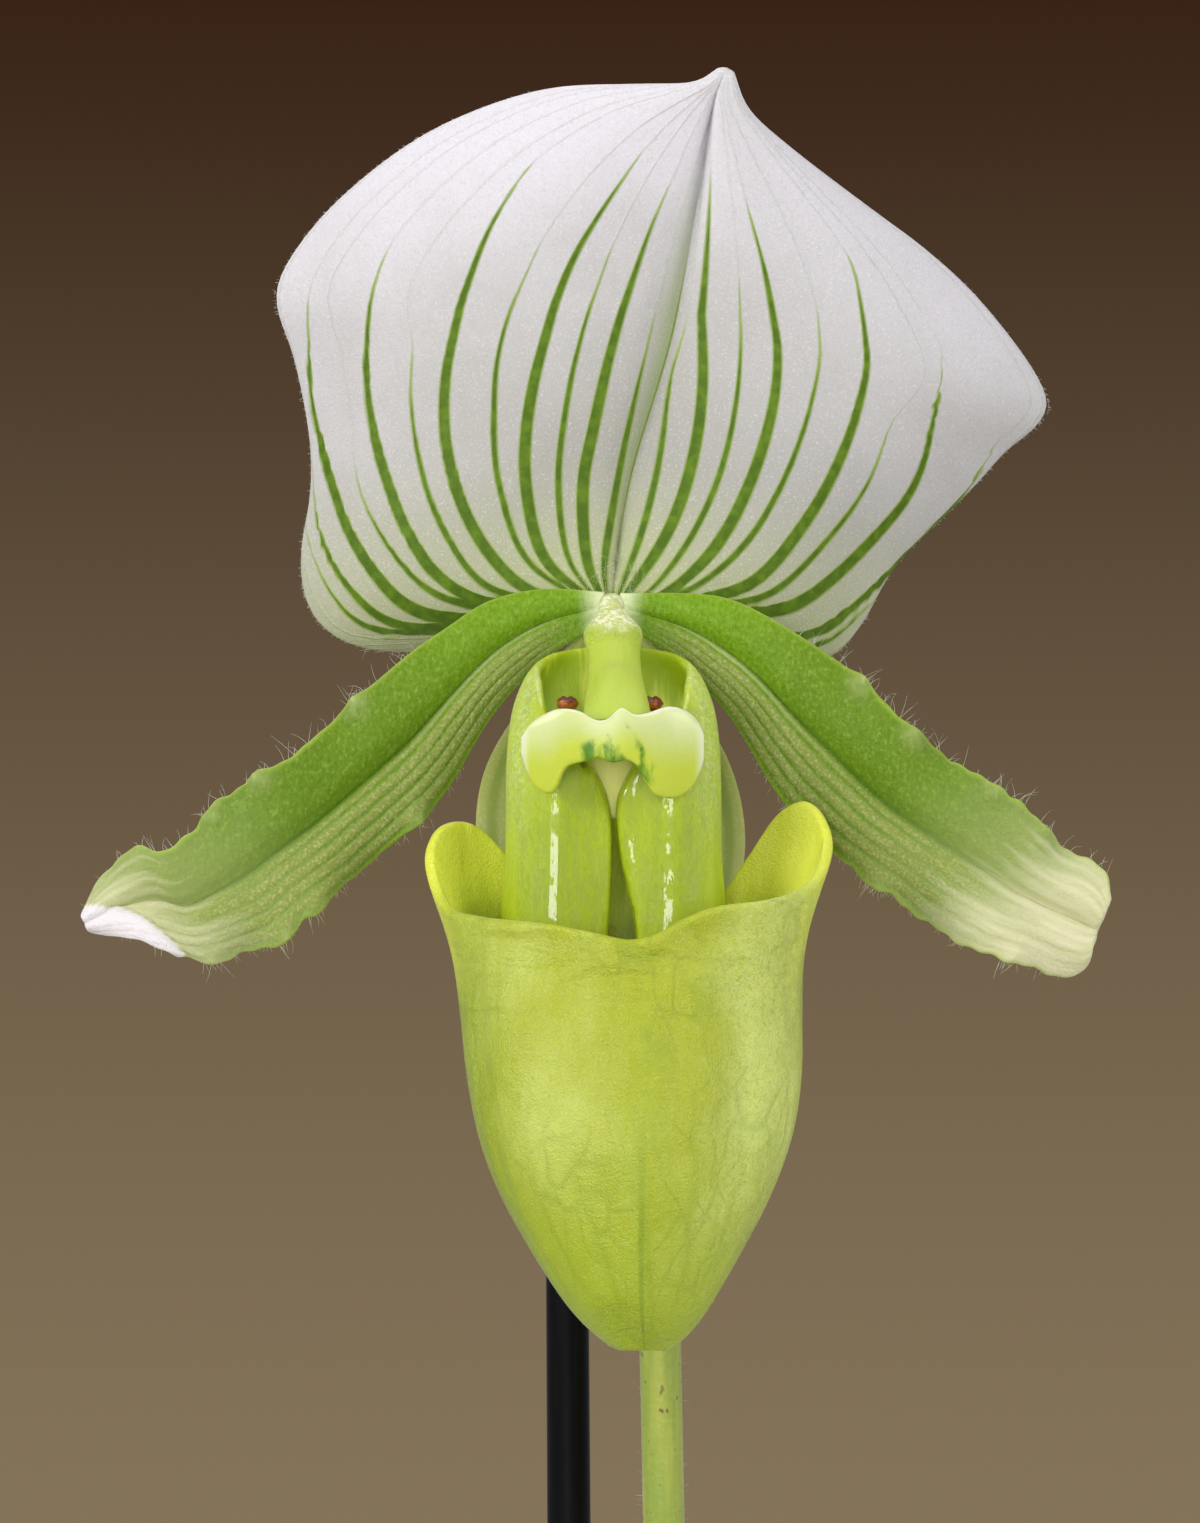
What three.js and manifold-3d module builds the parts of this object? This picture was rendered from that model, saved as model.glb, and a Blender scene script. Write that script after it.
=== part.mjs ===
// A potted slipper orchid: one white and green bloom on a staked stem, over two fans of mottled
// leaves in a plain clay pot. Millimetres, +Z up, and the bloom faces -Y.
// The origin is the centre of the pot's underside.
import * as THREE from "three";
import { mergeVertices } from "three/addons/utils/BufferGeometryUtils.js";
import Module from "manifold-3d";

const wasm = await Module();
wasm.setup();

// Driving dimensions of the pot and its filling
const POT_HEIGHT = 106;
const POT_TOP_RADIUS = 61;
const POT_BASE_RADIUS = 43;
const POT_WALL = 5;
const POT_FLOOR = 7;
const POT_BAND_HEIGHT = 24;
const POT_BAND_STEP = 2.5;
const POT_CHAMFER = 1.2;
const DRAIN_RADIUS = 5;
const DRAIN_RING_RADIUS = 22;
const DRAIN_COUNT = 3;
const SEAT_GAP = 0.35;
const MIX_TOP = 95;
const HOLE_FLOOR = 74;
const CHIP_COUNT = 46;
const CHIP_SIZE = [16, 10.5, 6.5];

// Driving dimensions of the leaves: each one starts as a sheath wrapped round its fan's centre
const MAIN_FAN = { centre: [8, 5], turn: 12 };
const YOUNG_FAN = { centre: [11, -25], turn: 0 };
const SHEATH_RADIUS = 3.4;
const SHEATH_STEP = 1.7;
const SHEATH_WRAP = 109;
const LEAF_THICKNESS = 1.1;

// Driving dimensions of the stem and what holds it
const STEM_RADIUS = 2;
const STEM_ROUTE = [[8, 5, 74.4], [8.2, 5.2, 140], [6.9, 5.8, 230], [5.9, 6, 290], [5, 6, 325.7]];
const STAKE_RADIUS = 2;
const STAKE_FOOT = [-1.5, 25, 40];
const STAKE_TOP = [-3.4, 10, 344];
const STAKE_POINT = 8;
const CLIP_BASE = 312;
const CLIP_HEIGHT = 6;
const CLIP_WALL = 1.2;

// Driving dimensions of the bloom, whose heart is where its parts meet
const HEART = [1.1, -20, 368];
const SEPAL_THICKNESS = 0.8;
const PETAL_THICKNESS = 0.9;
const WART_RADIUS = 1.1;
const LIP_THICKNESS = 1;
const STAMINODE_THICKNESS = 1.1;

const { degToRad, clamp, smoothstep, lerp } = THREE.MathUtils;
const TURN = 2 * Math.PI;
const vector = (x, y, z) => new THREE.Vector3(x, y, z);
const bump = (x, width) => Math.exp(-((x / width) ** 2));

// The same stream of numbers in [0, 1) each time the part is made
function seededRandom(seed) {
  let state = seed;
  return () => {
    state = (state * 1664525 + 1013904223) % 4294967296;
    return state / 4294967296;
  };
}

// A smooth value read along a list of [place, value] pairs
function track(pairs) {
  const places = pairs.map(([place]) => place);
  const values = pairs.map(([, value]) => value);
  const spline = new THREE.CubicInterpolant(places, values, 1, new Float32Array(1));
  return (place) => spline.evaluate(place)[0];
}

// A smooth curve through [x, z] points, read by its share of length
function outline(points) {
  const curve = new THREE.SplineCurve(points.map(([x, z]) => new THREE.Vector2(x, z)));
  return (share) => curve.getPointAt(clamp(share, 0, 1));
}

function curveThrough(points) {
  return new THREE.CatmullRomCurve3(points.map((point) => vector(...point)));
}

// Moves every vertex of a stock shape to where map(x, y, z) puts it
function bend(geometry, map) {
  const place = geometry.getAttribute("position");
  for (let i = 0; i < place.count; i++) {
    const { x, y, z } = map(place.getX(i), place.getY(i), place.getZ(i));
    place.setXYZ(i, x, y, z);
  }
  geometry.computeVertexNormals();
  return geometry;
}

// The unit normal of a surface at(u, v), on the side from which u runs right and v runs up
function normalOf(at, u, v, uStep = 1e-3) {
  const vStep = 1e-3;
  const across = at(Math.min(u + uStep, 1), v).sub(at(Math.max(u - uStep, 0), v));
  const along = at(u, Math.min(v + vStep, 1)).sub(at(u, Math.max(v - vStep, 0)));
  return across.cross(along).normalize();
}

// A box splits its front and back quads along opposite diagonals; this turns the back's
function alignDiagonals(box) {
  const index = box.getIndex();
  const { start, count } = box.groups[5];
  for (let i = start; i < start + count; i += 6) {
    const [a, b, d] = [index.getX(i), index.getX(i + 1), index.getX(i + 2)];
    const c = index.getX(i + 4);
    [a, b, c, a, c, d].forEach((corner, k) => index.setX(i + k, corner));
  }
}

// A sheet of even thickness: a flat box bent on to the surface at(u, v)
function sheet(at, columns, rows, thickness) {
  const box = new THREE.BoxGeometry(1, 1, 1, columns, rows, 1);
  alignDiagonals(box);
  return bend(box, (x, y, z) => {
    const [u, v] = [x + 0.5, y + 0.5];
    return at(u, v).addScaledVector(normalOf(at, u, v), z * thickness);
  });
}

// A cup of even thickness: a flat double disc bent on to at(turn, v), with v from toe to rim
function cup(at, columns, rows, thickness) {
  const profile = [];
  for (let j = 0; j <= rows; j++) profile.push(new THREE.Vector2(j / rows, -0.5));
  for (let j = rows; j >= 0; j--) profile.push(new THREE.Vector2(j / rows, 0.5));
  const disc = new THREE.LatheGeometry(profile, columns);
  const unrolled = (u, v) => at(u * TURN - Math.PI, v);
  return bend(disc, (x, y, z) => {
    const v = Math.min(Math.hypot(x, z), 1);
    if (v < 1e-6) return at(0, 0).add(vector(0, 0, y * thickness));
    const u = Math.atan2(x, z) / TURN + 0.5;
    const inward = normalOf(unrolled, clamp(u, 1e-3, 1 - 1e-3), v).negate();
    return unrolled(u, v).addScaledVector(inward, y * thickness);
  });
}

// A limb along a curve: a cylinder whose radii(share, angle) are [across, upright]
function limb(curve, radii, sides, steps) {
  return bend(new THREE.CylinderGeometry(1, 1, 1, sides, steps), (x, y, z) => {
    const share = clamp(y + 0.5, 0, 1);
    const angle = Math.atan2(x, z);
    const [across, upright] = radii(share, angle);
    const tangent = curve.getTangentAt(share);
    const side = vector(1, 0, 0).addScaledVector(tangent, -tangent.x).normalize();
    const up = tangent.clone().cross(side);
    return curve
      .getPointAt(share)
      .addScaledVector(side, across * z)
      .addScaledVector(up, upright * x);
  });
}

// A round rod of one radius along a curve
function rod(curve, radius, sides, steps) {
  const section = new THREE.Shape(new THREE.EllipseCurve(0, 0, radius, radius).getPoints(sides));
  return new THREE.ExtrudeGeometry(section, { extrudePath: curve, steps });
}

function solidFrom(geometry) {
  const bare = new THREE.BufferGeometry();
  bare.setAttribute("position", geometry.getAttribute("position"));
  bare.setIndex(geometry.getIndex());
  const { attributes, index } = mergeVertices(bare, 1e-3);
  const mesh = new wasm.Mesh({
    numProp: 3,
    vertProperties: attributes.position.array,
    triVerts: new Uint32Array(index.array),
  });
  mesh.merge();
  return new wasm.Manifold(mesh);
}

function geometryFrom(solid) {
  const mesh = solid.getMesh();
  const geometry = new THREE.BufferGeometry();
  geometry.setAttribute("position", new THREE.BufferAttribute(mesh.vertProperties, 3));
  geometry.setIndex(new THREE.BufferAttribute(mesh.triVerts, 1));
  geometry.computeVertexNormals();
  return geometry;
}

function lathe(profile, sides) {
  const points = profile.map(([radius, z]) => new THREE.Vector2(radius, z));
  return new THREE.LatheGeometry(points, sides).rotateX(Math.PI / 2);
}

function uprightCylinder(radius, height, sides, x, y, z) {
  const turned = new THREE.CylinderGeometry(radius, radius, height, sides).rotateX(Math.PI / 2);
  return turned.translate(x, y, z);
}

// Pot: a turned clay wall with a straight band under its lip and drain holes round its middle
function potOuterRadius(z) {
  return lerp(POT_BASE_RADIUS, POT_TOP_RADIUS - POT_BAND_STEP, z / POT_HEIGHT);
}

function potInnerRadius(z) {
  return potOuterRadius(z) - POT_WALL;
}

function potGeometry() {
  const bandFoot = POT_HEIGHT - POT_BAND_HEIGHT;
  const profile = [
    [0, 0],
    [POT_BASE_RADIUS - POT_CHAMFER, 0],
    [POT_BASE_RADIUS, POT_CHAMFER],
    [potOuterRadius(bandFoot), bandFoot],
    [POT_TOP_RADIUS - POT_CHAMFER, bandFoot + POT_CHAMFER],
    [POT_TOP_RADIUS, POT_HEIGHT - POT_CHAMFER],
    [POT_TOP_RADIUS - POT_CHAMFER, POT_HEIGHT],
    [potInnerRadius(POT_HEIGHT) + POT_CHAMFER, POT_HEIGHT],
    [potInnerRadius(POT_HEIGHT), POT_HEIGHT - POT_CHAMFER],
    [potInnerRadius(POT_FLOOR), POT_FLOOR],
    [0, POT_FLOOR],
  ];
  let pot = solidFrom(lathe(profile, 48));
  for (let i = 0; i < DRAIN_COUNT; i++) {
    const turn = ((i + 0.25) / DRAIN_COUNT) * TURN;
    const [x, y] = [DRAIN_RING_RADIUS * Math.cos(turn), DRAIN_RING_RADIUS * Math.sin(turn)];
    pot = pot.subtract(solidFrom(uprightCylinder(DRAIN_RADIUS, 3 * POT_FLOOR, 14, x, y, 0)));
  }
  return geometryFrom(pot);
}

// Potting mix: a filled body topped with bark chips, with plain holes for the fans and the stake
function chipGeometry(random) {
  const box = new THREE.BoxGeometry(...CHIP_SIZE).deleteAttribute("normal").deleteAttribute("uv");
  const chip = mergeVertices(box);
  const ragged = () => lerp(0.62, 1.1, random());
  return bend(chip, (x, y, z) => vector(x * ragged(), y * ragged(), z * ragged()));
}

function fanHole({ centre }, leafCount) {
  const outermost = SHEATH_RADIUS + SHEATH_STEP * (leafCount - 1);
  const radius = outermost + LEAF_THICKNESS / 2 + SEAT_GAP + 0.1;
  const depth = 2 * (MIX_TOP - HOLE_FLOOR);
  return uprightCylinder(radius, depth, 28, ...centre, HOLE_FLOOR + depth / 2);
}

function mixGeometry() {
  const random = seededRandom(57);
  const clearance = SEAT_GAP + 0.15;
  const rim = potInnerRadius(MIX_TOP) - clearance;
  const profile = [
    [0, POT_FLOOR + SEAT_GAP],
    [potInnerRadius(POT_FLOOR) - clearance, POT_FLOOR + SEAT_GAP],
    [rim, MIX_TOP - 3],
    [rim * 0.6, MIX_TOP - 1],
    [0, MIX_TOP],
  ];
  let mix = solidFrom(lathe(profile, 32));
  for (let i = 0; i < CHIP_COUNT; i++) {
    const reach = (rim - CHIP_SIZE[0] / 2 - 1.5) * Math.sqrt((i + 0.5) / CHIP_COUNT);
    const turn = i * 2.39996 + 0.3 * random();
    const chip = chipGeometry(random)
      .rotateX(0.6 * (random() - 0.5))
      .rotateY(0.6 * (random() - 0.5))
      .rotateZ(TURN * random())
      .translate(reach * Math.cos(turn), reach * Math.sin(turn), MIX_TOP - 2.6 + 1.8 * random());
    mix = mix.add(solidFrom(chip));
  }
  mix = mix.subtract(solidFrom(fanHole(MAIN_FAN, MAIN_LEAVES.length)));
  mix = mix.subtract(solidFrom(fanHole(YOUNG_FAN, YOUNG_LEAVES.length)));
  mix = mix.subtract(solidFrom(stakeHole()));
  return geometryFrom(mix);
}

// Stake: a straight coated rod with a blunt point at its foot
function stakeLine(share) {
  return vector(...STAKE_FOOT).lerp(vector(...STAKE_TOP), share);
}

function stakeGeometry() {
  const length = stakeLine(0).distanceTo(stakeLine(1));
  const line = new THREE.LineCurve3(stakeLine(0), stakeLine(1));
  const rounded = 1.2;
  const stations = [0, STAKE_POINT, length - rounded, length - 0.3, length];
  const radii = [0.7, STAKE_RADIUS, STAKE_RADIUS, STAKE_RADIUS - 0.4, STAKE_RADIUS - 1];
  const profile = stations.map((z, i) => [radii[i], z]);
  const turned = lathe([[0, 0], ...profile, [0, length]], 14);
  return bend(turned, (x, y, z) => {
    const along = z / length;
    return line.getPoint(along).add(vector(x, y, 0));
  });
}

function stakeHole() {
  const span = 1.3;
  const line = new THREE.LineCurve3(stakeLine(-0.002), stakeLine(span));
  return limb(line, () => [STAKE_RADIUS + SEAT_GAP, STAKE_RADIUS + SEAT_GAP], 12, 1);
}

// Clip: a flat strap pierced by the stake and the stem
function clipGeometry() {
  const stake = stakeLine((CLIP_BASE - STAKE_FOOT[2]) / (STAKE_TOP[2] - STAKE_FOOT[2]));
  const stem = stemCurve().getPointAt(0.945);
  const holeRadius = STEM_RADIUS + SEAT_GAP + 0.1;
  const outer = holeRadius + CLIP_WALL;
  const heading = Math.atan2(stem.y - stake.y, stem.x - stake.x);
  const strap = new THREE.Shape();
  strap.absarc(stake.x, stake.y, outer, heading + Math.PI / 2, heading - Math.PI / 2, false);
  strap.absarc(stem.x, stem.y, outer, heading - Math.PI / 2, heading + Math.PI / 2, false);
  for (const { x, y } of [stake, stem]) {
    strap.holes.push(new THREE.Path().absarc(x, y, holeRadius, 0, TURN, true));
  }
  const options = { depth: CLIP_HEIGHT, bevelEnabled: false, curveSegments: 9 };
  return new THREE.ExtrudeGeometry(strap, options).translate(0, 0, CLIP_BASE);
}

function stemCurve() {
  return curveThrough(STEM_ROUTE);
}

// Leaf: a sheath wrapped round the local Z axis that opens into a blade arching out along +X.
// The section is an arc whose half-turn shrinks from the sheath's wrap to a shallow fold.
function leafGeometry(leaf) {
  const { radius, foot, sheathTop, reach, rise, droop, halfWidth } = leaf;
  const { wrap = SHEATH_WRAP, thickness = LEAF_THICKNESS, columns = 6, rows = 15 } = leaf;
  const spine = curveThrough([
    [radius, 0, foot],
    [radius, 0, lerp(foot, sheathTop, 0.55)],
    [radius + 0.01 * reach, 0, sheathTop],
    [radius + 0.2 * reach, 0, sheathTop + 0.52 * rise],
    [radius + 0.47 * reach, 0, sheathTop + 0.93 * rise],
    [radius + 0.75 * reach, 0, sheathTop + rise * (1 - 0.25 * droop)],
    [radius + reach, 0, sheathTop + rise * (1 - droop)],
  ]);
  const neck = clamp((sheathTop - foot) / spine.getLength(), 0.05, 0.5);
  const along = (share) => lerp(neck, 1, share);
  const sheathWrap = degToRad(wrap);
  const sheathHalf = radius * sheathWrap;
  const half = track([
    [0, sheathHalf],
    [0.85 * neck, sheathHalf],
    [neck, sheathHalf],
    [along(0.16), lerp(sheathHalf, halfWidth, 0.6)],
    [along(0.42), halfWidth * 0.98],
    [along(0.62), halfWidth],
    [along(0.82), halfWidth * 0.74],
    [along(0.95), halfWidth * 0.3],
    [1, 0.8],
  ]);
  const fold = track([
    [0, sheathWrap],
    [0.85 * neck, sheathWrap],
    [neck, sheathWrap],
    [along(0.1), sheathWrap * 0.68],
    [along(0.28), 0.75],
    [along(0.6), 0.42],
    [1, 0.35],
  ]);
  const surface = (u, v) => {
    const place = spine.getPointAt(v);
    const { x: tx, z: tz } = spine.getTangentAt(v);
    const [s, turn] = [2 * u - 1, fold(v)];
    const arc = half(v) / turn;
    const ripple = 0.7 * Math.abs(s) ** 3 * Math.sin(15 * v + 2 * s) * smoothstep(v, neck, 1);
    const lift = arc * (1 - Math.cos(turn * s)) + ripple;
    return place.add(vector(-tz * lift, -arc * Math.sin(turn * s), tx * lift));
  };
  return sheet(surface, columns, rows, thickness);
}

// Leaves of a fan from its heart outwards: each overlaps the next one in at the foot
function fanLeaves(leaves, firstSheathTop, sheathDrop) {
  return leaves.map((leaf, k) => ({
    ...leaf,
    foot: HOLE_FLOOR + SEAT_GAP,
    radius: SHEATH_RADIUS + SHEATH_STEP * k,
    sheathTop: firstSheathTop - sheathDrop * k,
  }));
}

const MAIN_LEAVES = fanLeaves([
  { azimuth: 0, reach: 52, rise: 78, droop: -0.12, halfWidth: 14.5 },
  { azimuth: 180, reach: 66, rise: 66, droop: -0.02, halfWidth: 17 },
  { azimuth: 0, reach: 92, rise: 52, droop: 0.15, halfWidth: 19 },
  { azimuth: 180, reach: 104, rise: 42, droop: 0.35, halfWidth: 20.5 },
  { azimuth: 0, reach: 114, rise: 31, droop: 0.55, halfWidth: 21 },
  { azimuth: 180, reach: 108, rise: 23, droop: 0.6, halfWidth: 20 },
], 136, 6.5);

const YOUNG_LEAVES = fanLeaves([
  { azimuth: -90, reach: 34, rise: 34, droop: -0.1, halfWidth: 9 },
  { azimuth: -32, reach: 68, rise: 26, droop: 0.3, halfWidth: 14.5 },
  { azimuth: 212, reach: 74, rise: 22, droop: 0.5, halfWidth: 15.5 },
], 118, 7);

// Bract: a small pointed sheath that clasps the foot of the ovary
const BRACT = {
  radius: 3.1,
  foot: 320,
  sheathTop: 327,
  reach: 3.4,
  rise: 13,
  droop: -0.05,
  halfWidth: 3.8,
  wrap: 100,
  thickness: 0.7,
  columns: 6,
  rows: 9,
};

// The bloom is drawn in its own frame: the heart at 0, X right, Y back, Z up

// Ovary: the ribbed stalk that arches from the stem's top to the back of the bloom
function ovaryGeometry() {
  const stemTop = vector(...STEM_ROUTE[STEM_ROUTE.length - 1]).sub(vector(...HEART));
  const foot = [stemTop.x, stemTop.y, stemTop.z + SEAT_GAP];
  const arch = [[3.9, 26, -32], [3, 23.5, -17], [1.2, 16, -5], [0.2, 9, -0.8], [0, 3.7, 0]];
  const route = curveThrough([foot, ...arch]);
  const girth = track([[0, 2], [0.25, 2.5], [0.55, 3.5], [0.8, 3.3], [1, 2.6]]);
  const ribs = 6;
  return limb(route, (share, angle) => {
    const ribbed = 1 + 0.09 * Math.cos(ribs * angle) * Math.sin(Math.PI * share);
    return [girth(share) * ribbed, girth(share) * ribbed];
  }, 18, 12);
}

// Dorsal sepal: every vein runs from the base to the tip, so a vein is a line of equal s, which
// is 0 on the midrib and 1 on a margin
const SEPAL_MIDRIB = [[0, 0.6], [1, 8.2], [2.2, 13.8], [5.4, 24.6], [7.7, 36.5], [9.2, 45.4], [10.3, 48.6]];
const SEPAL_LEFT = [
  [-3.5, -0.3], [-10, -3.6], [-17.7, -3.9], [-23.2, -3.5], [-26.9, -1.5], [-28.5, 1.8], [-28.6, 6],
  [-27.8, 10.5], [-27.9, 16], [-29.3, 23.2], [-31, 28.4], [-29.6, 32.1], [-25.5, 37], [-19.1, 42],
  [-12.8, 45.1], [-5.6, 47], [2.5, 47], [7.6, 46.9], [9.8, 48.6],
];
const SEPAL_RIGHT = [
  [3.5, -0.3], [8, -3.8], [14, -5.4], [19.9, -4.5], [23, -1.4], [26.2, 4.1], [31.6, 9.5],
  [34.3, 12.3], [36.2, 14.5], [39.4, 17.1], [40.1, 19.1], [37.9, 23], [33.3, 28.5], [28.7, 32.5],
  [24.1, 35.7], [16, 41.4], [12.1, 44.7], [10.9, 48.3],
];

function dorsalSepalGeometry() {
  const midrib = outline(SEPAL_MIDRIB);
  const margins = [outline(SEPAL_LEFT), outline(SEPAL_RIGHT)];
  const reflex = track([[0, 2.5], [0.15, 6.5], [0.35, 7], [0.6, 4], [0.85, 1], [1, 0]]);
  const surface = (u, v) => {
    const side = 2 * u - 1;
    const s = Math.abs(side) ** 1.35;
    const middle = midrib(v);
    const margin = margins[side < 0 ? 0 : 1](v);
    const { x, y: z } = middle.lerp(margin, s);
    const groove = 1.3 * bump(s, 0.06) * smoothstep(v, 0, 0.08);
    const dome = -2.4 * Math.sin(Math.PI * s) * Math.sin(Math.PI * v) ** 0.7;
    const lean = 3.2 * Math.sin(0.85 * Math.PI * v) - 2.6 * v ** 4;
    return vector(x, 2.5 + lean + groove + dome + reflex(v) * s ** 4, z);
  };
  return sheet(surface, 22, 18, SEPAL_THICKNESS);
}

// Petals: ribbons between an upper and a lower edge, grooved along the midrib, waved at the
// margins and dotted there with warts
const PETAL_LEFT = {
  upper: [
    [-0.7, 1.2], [-6.3, 1.4], [-11.1, 0.3], [-14.9, -2.1], [-18.2, -4.4], [-23, -8.6], [-28.4, -13.4],
    [-34.2, -17.1], [-39.4, -21.9], [-42.2, -21.6], [-45.4, -24.6], [-47.2, -28],
  ],
  lower: [
    [-0.7, -1.5], [-5.3, -4.3], [-7.9, -6.6], [-11.1, -10.4], [-14.6, -16.3], [-17.3, -19.5],
    [-22.3, -23.7], [-27.1, -28], [-29.7, -30.3], [-33, -31.2], [-37, -31.8], [-42, -30], [-46.8, -29],
  ],
  warts: [[0, 0.44], [0, 0.63], [0, 0.72], [0, 0.94], [1, 0.42], [1, 0.62], [1, 0.68], [1, 0.8]],
  phase: 0.4,
};
const PETAL_RIGHT = {
  upper: [
    [0.7, 1.1], [6.8, 1], [10.5, 0.5], [14, -1.1], [17.4, -3.2], [22.2, -6.6], [25.7, -10.2], [28.9, -13],
    [33.4, -15.9], [37, -18.4], [39.8, -21.6], [42, -22.5], [43.3, -24], [43.6, -26.4],
  ],
  lower: [
    [0.7, -1.5], [5.4, -4.6], [8.3, -7.5], [11.2, -10.9], [15.1, -17.5], [20.3, -22.8], [24.9, -26.2],
    [28.4, -28.7], [32.6, -31.1], [35.6, -31.7], [38.6, -32.9], [41.2, -32.9],
  ],
  warts: [[0, 0.44], [0, 0.56], [0, 0.72], [0, 0.83], [1, 0.6], [1, 0.86]],
  phase: 2,
};

function petalSurface({ upper, lower, phase }) {
  const edges = [outline(upper), outline(lower)];
  const forward = track([[0, 1], [0.2, 0.2], [0.5, -2.6], [0.8, -4.6], [1, -4]]);
  return (u, v) => {
    const { x, y: z } = edges[0](v).lerp(edges[1](v), 1 - u);
    const groove = 0.45 * bump(u - 0.5, 0.1) * smoothstep(v, 0, 0.1);
    const dome = -0.6 * Math.sin(TURN * Math.abs(u - 0.5)) * smoothstep(v, 0, 0.2);
    const edge = (2 * u - 1) ** 2 * smoothstep(v, 0.2, 0.6);
    const wave = 0.9 * Math.sin(26 * v + phase + 2 * u) * edge;
    return vector(x, forward(v) + groove + dome + wave, z);
  };
}

function petalGeometry(petal) {
  const surface = petalSurface(petal);
  let solid = solidFrom(sheet(surface, 8, 21, PETAL_THICKNESS));
  for (const [edge, v] of petal.warts) {
    const place = surface(lerp(0.94, 0.06, edge), v);
    const wart = new THREE.IcosahedronGeometry(WART_RADIUS).scale(1.3, 1, 1);
    wart.translate(place.x, place.y, place.z);
    solid = solid.add(solidFrom(wart));
  }
  return geometryFrom(solid);
}

// Synsepal: the joined lower sepals, a boat behind the lip that ends in one point
function synsepalGeometry() {
  const half = track([[0, 3.2], [0.15, 7.6], [0.32, 11.4], [0.5, 12.2], [0.7, 9.8], [0.88, 4.8], [1, 0.8]]);
  const depth = track([[0, 2.5], [0.15, 4.4], [0.4, 8], [0.7, 8.6], [1, 4]]);
  const centre = track([[0, 0], [0.35, -0.3], [1, 1.2]]);
  const surface = (u, v) => {
    const s = 1 - 2 * u;
    const boat = -2.6 * s ** 2 * Math.sin(Math.PI * clamp(v, 0, 1));
    return vector(centre(v) + half(v) * s, depth(v) + boat, lerp(-2.6, -42, v));
  };
  return sheet(surface, 10, 12, SEPAL_THICKNESS);
}

// Lip: a slipper with a closed toe, whose rim stands up in an ear on each side
const RIM_HEIGHTS = [
  [0, -29.4], [8, -28.7], [25, -27.8], [50, -26.4], [68, -24.6], [84, -22.6], [98, -20.4], [112, -18.2],
  [122, -17.6], [134, -19], [144, -23], [152, -27], [166, -28], [180, -28], [200, -28], [208, -25.6],
  [215, -22.6], [224, -20.1], [234, -19.4], [246, -20], [258, -22], [270, -24.4], [286, -26.3], [308, -27.3],
  [335, -28], [352, -28.8], [360, -29.4],
];
const LIP_TOE = -65.6;

function pouchSurface() {
  const rim = track(RIM_HEIGHTS);
  const middle = track([[-65.6, 2.8], [-60, 2.4], [-52, 2.2], [-42, 1.9], [-27, 1.2], [-17, 1.2]]);
  const half = track([
    [-65.6, 0], [-65, 2.8], [-63.4, 5.1], [-61.4, 6.8], [-58.6, 8.5], [-55.8, 10], [-52.4, 11.6],
    [-49, 13], [-45.4, 14], [-41, 14.6], [-36.4, 14.9], [-31.8, 15.3], [-28.6, 16], [-25.6, 17],
    [-22, 18.2], [-17, 18.6],
  ]);
  const front = track([[-65.6, -19], [-60, -23.4], [-50, -25.2], [-40, -24.6], [-30, -21], [-25, -20], [-17, -17]]);
  const back = track([[-65.6, -19], [-60, -12.6], [-50, -6.6], [-40, -3.2], [-30, -1.8], [-25, -1.6], [-17, -3]]);
  const level = (degrees, v) => {
    const wall = 1 - (1 - v) ** 1.5;
    return lerp(LIP_TOE, rim(degrees), Math.sin((wall * Math.PI) / 2) ** 2 * 0.35 + wall * v * 0.65);
  };
  return (turn, v) => {
    const degrees = (THREE.MathUtils.radToDeg(turn) + 360) % 360;
    const z = level(degrees, v);
    const [across, deep] = [Math.sin(turn), Math.cos(turn)];
    const ridge = 0.5 * bump(Math.sin(turn / 2), 0.12) * smoothstep(v, 0.1, 0.5);
    const y = lerp(back(z), front(z), (1 + deep) / 2) - ridge;
    return vector(middle(z) + half(z) * Math.sign(across) * Math.abs(across) ** 0.92, y, z);
  };
}

// Neck: the lip's claw, rolled into a tube whose two glossy edges turn inwards along a front slit
function neckSurface() {
  const half = track([[-41, 6.8], [-30, 9.4], [-22, 9.1], [-14, 8.9], [-10, 8], [-6, 6.4], [-3.6, 4.6]]);
  const front = track([[-41, -13], [-30, -13], [-22, -12.6], [-14, -12], [-8, -9.5], [-3.6, -5.4]]);
  const back = track([[-41, -3.6], [-30, -1.8], [-14, -0.7], [-3.6, -0.4]]);
  return (u, v) => {
    const s = 1 - 2 * u;
    const roll = Math.abs(s);
    const side = Math.sign(s);
    const top = lerp(-3.6, -13.6, smoothstep(roll, 0.2, 0.72)) - 3 * smoothstep(roll, 0.7, 0.88);
    const z = lerp(-41, top, v);
    const turn = Math.min(roll / 0.84, 1) * degToRad(169);
    const fold = clamp((roll - 0.84) / 0.16, 0, 1);
    const y = lerp(back(z), front(z), (1 - Math.cos(turn)) / 2) + 2.4 * fold ** 0.8;
    const x = half(z) * Math.sin(turn) - 0.25 * fold;
    return vector(0.1 + side * x, y, z);
  };
}

function lipGeometry() {
  const pouch = solidFrom(cup(pouchSurface(), 32, 12, LIP_THICKNESS));
  const neck = solidFrom(sheet(neckSurface(), 26, 8, LIP_THICKNESS));
  return geometryFrom(pouch.add(neck));
}

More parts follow.
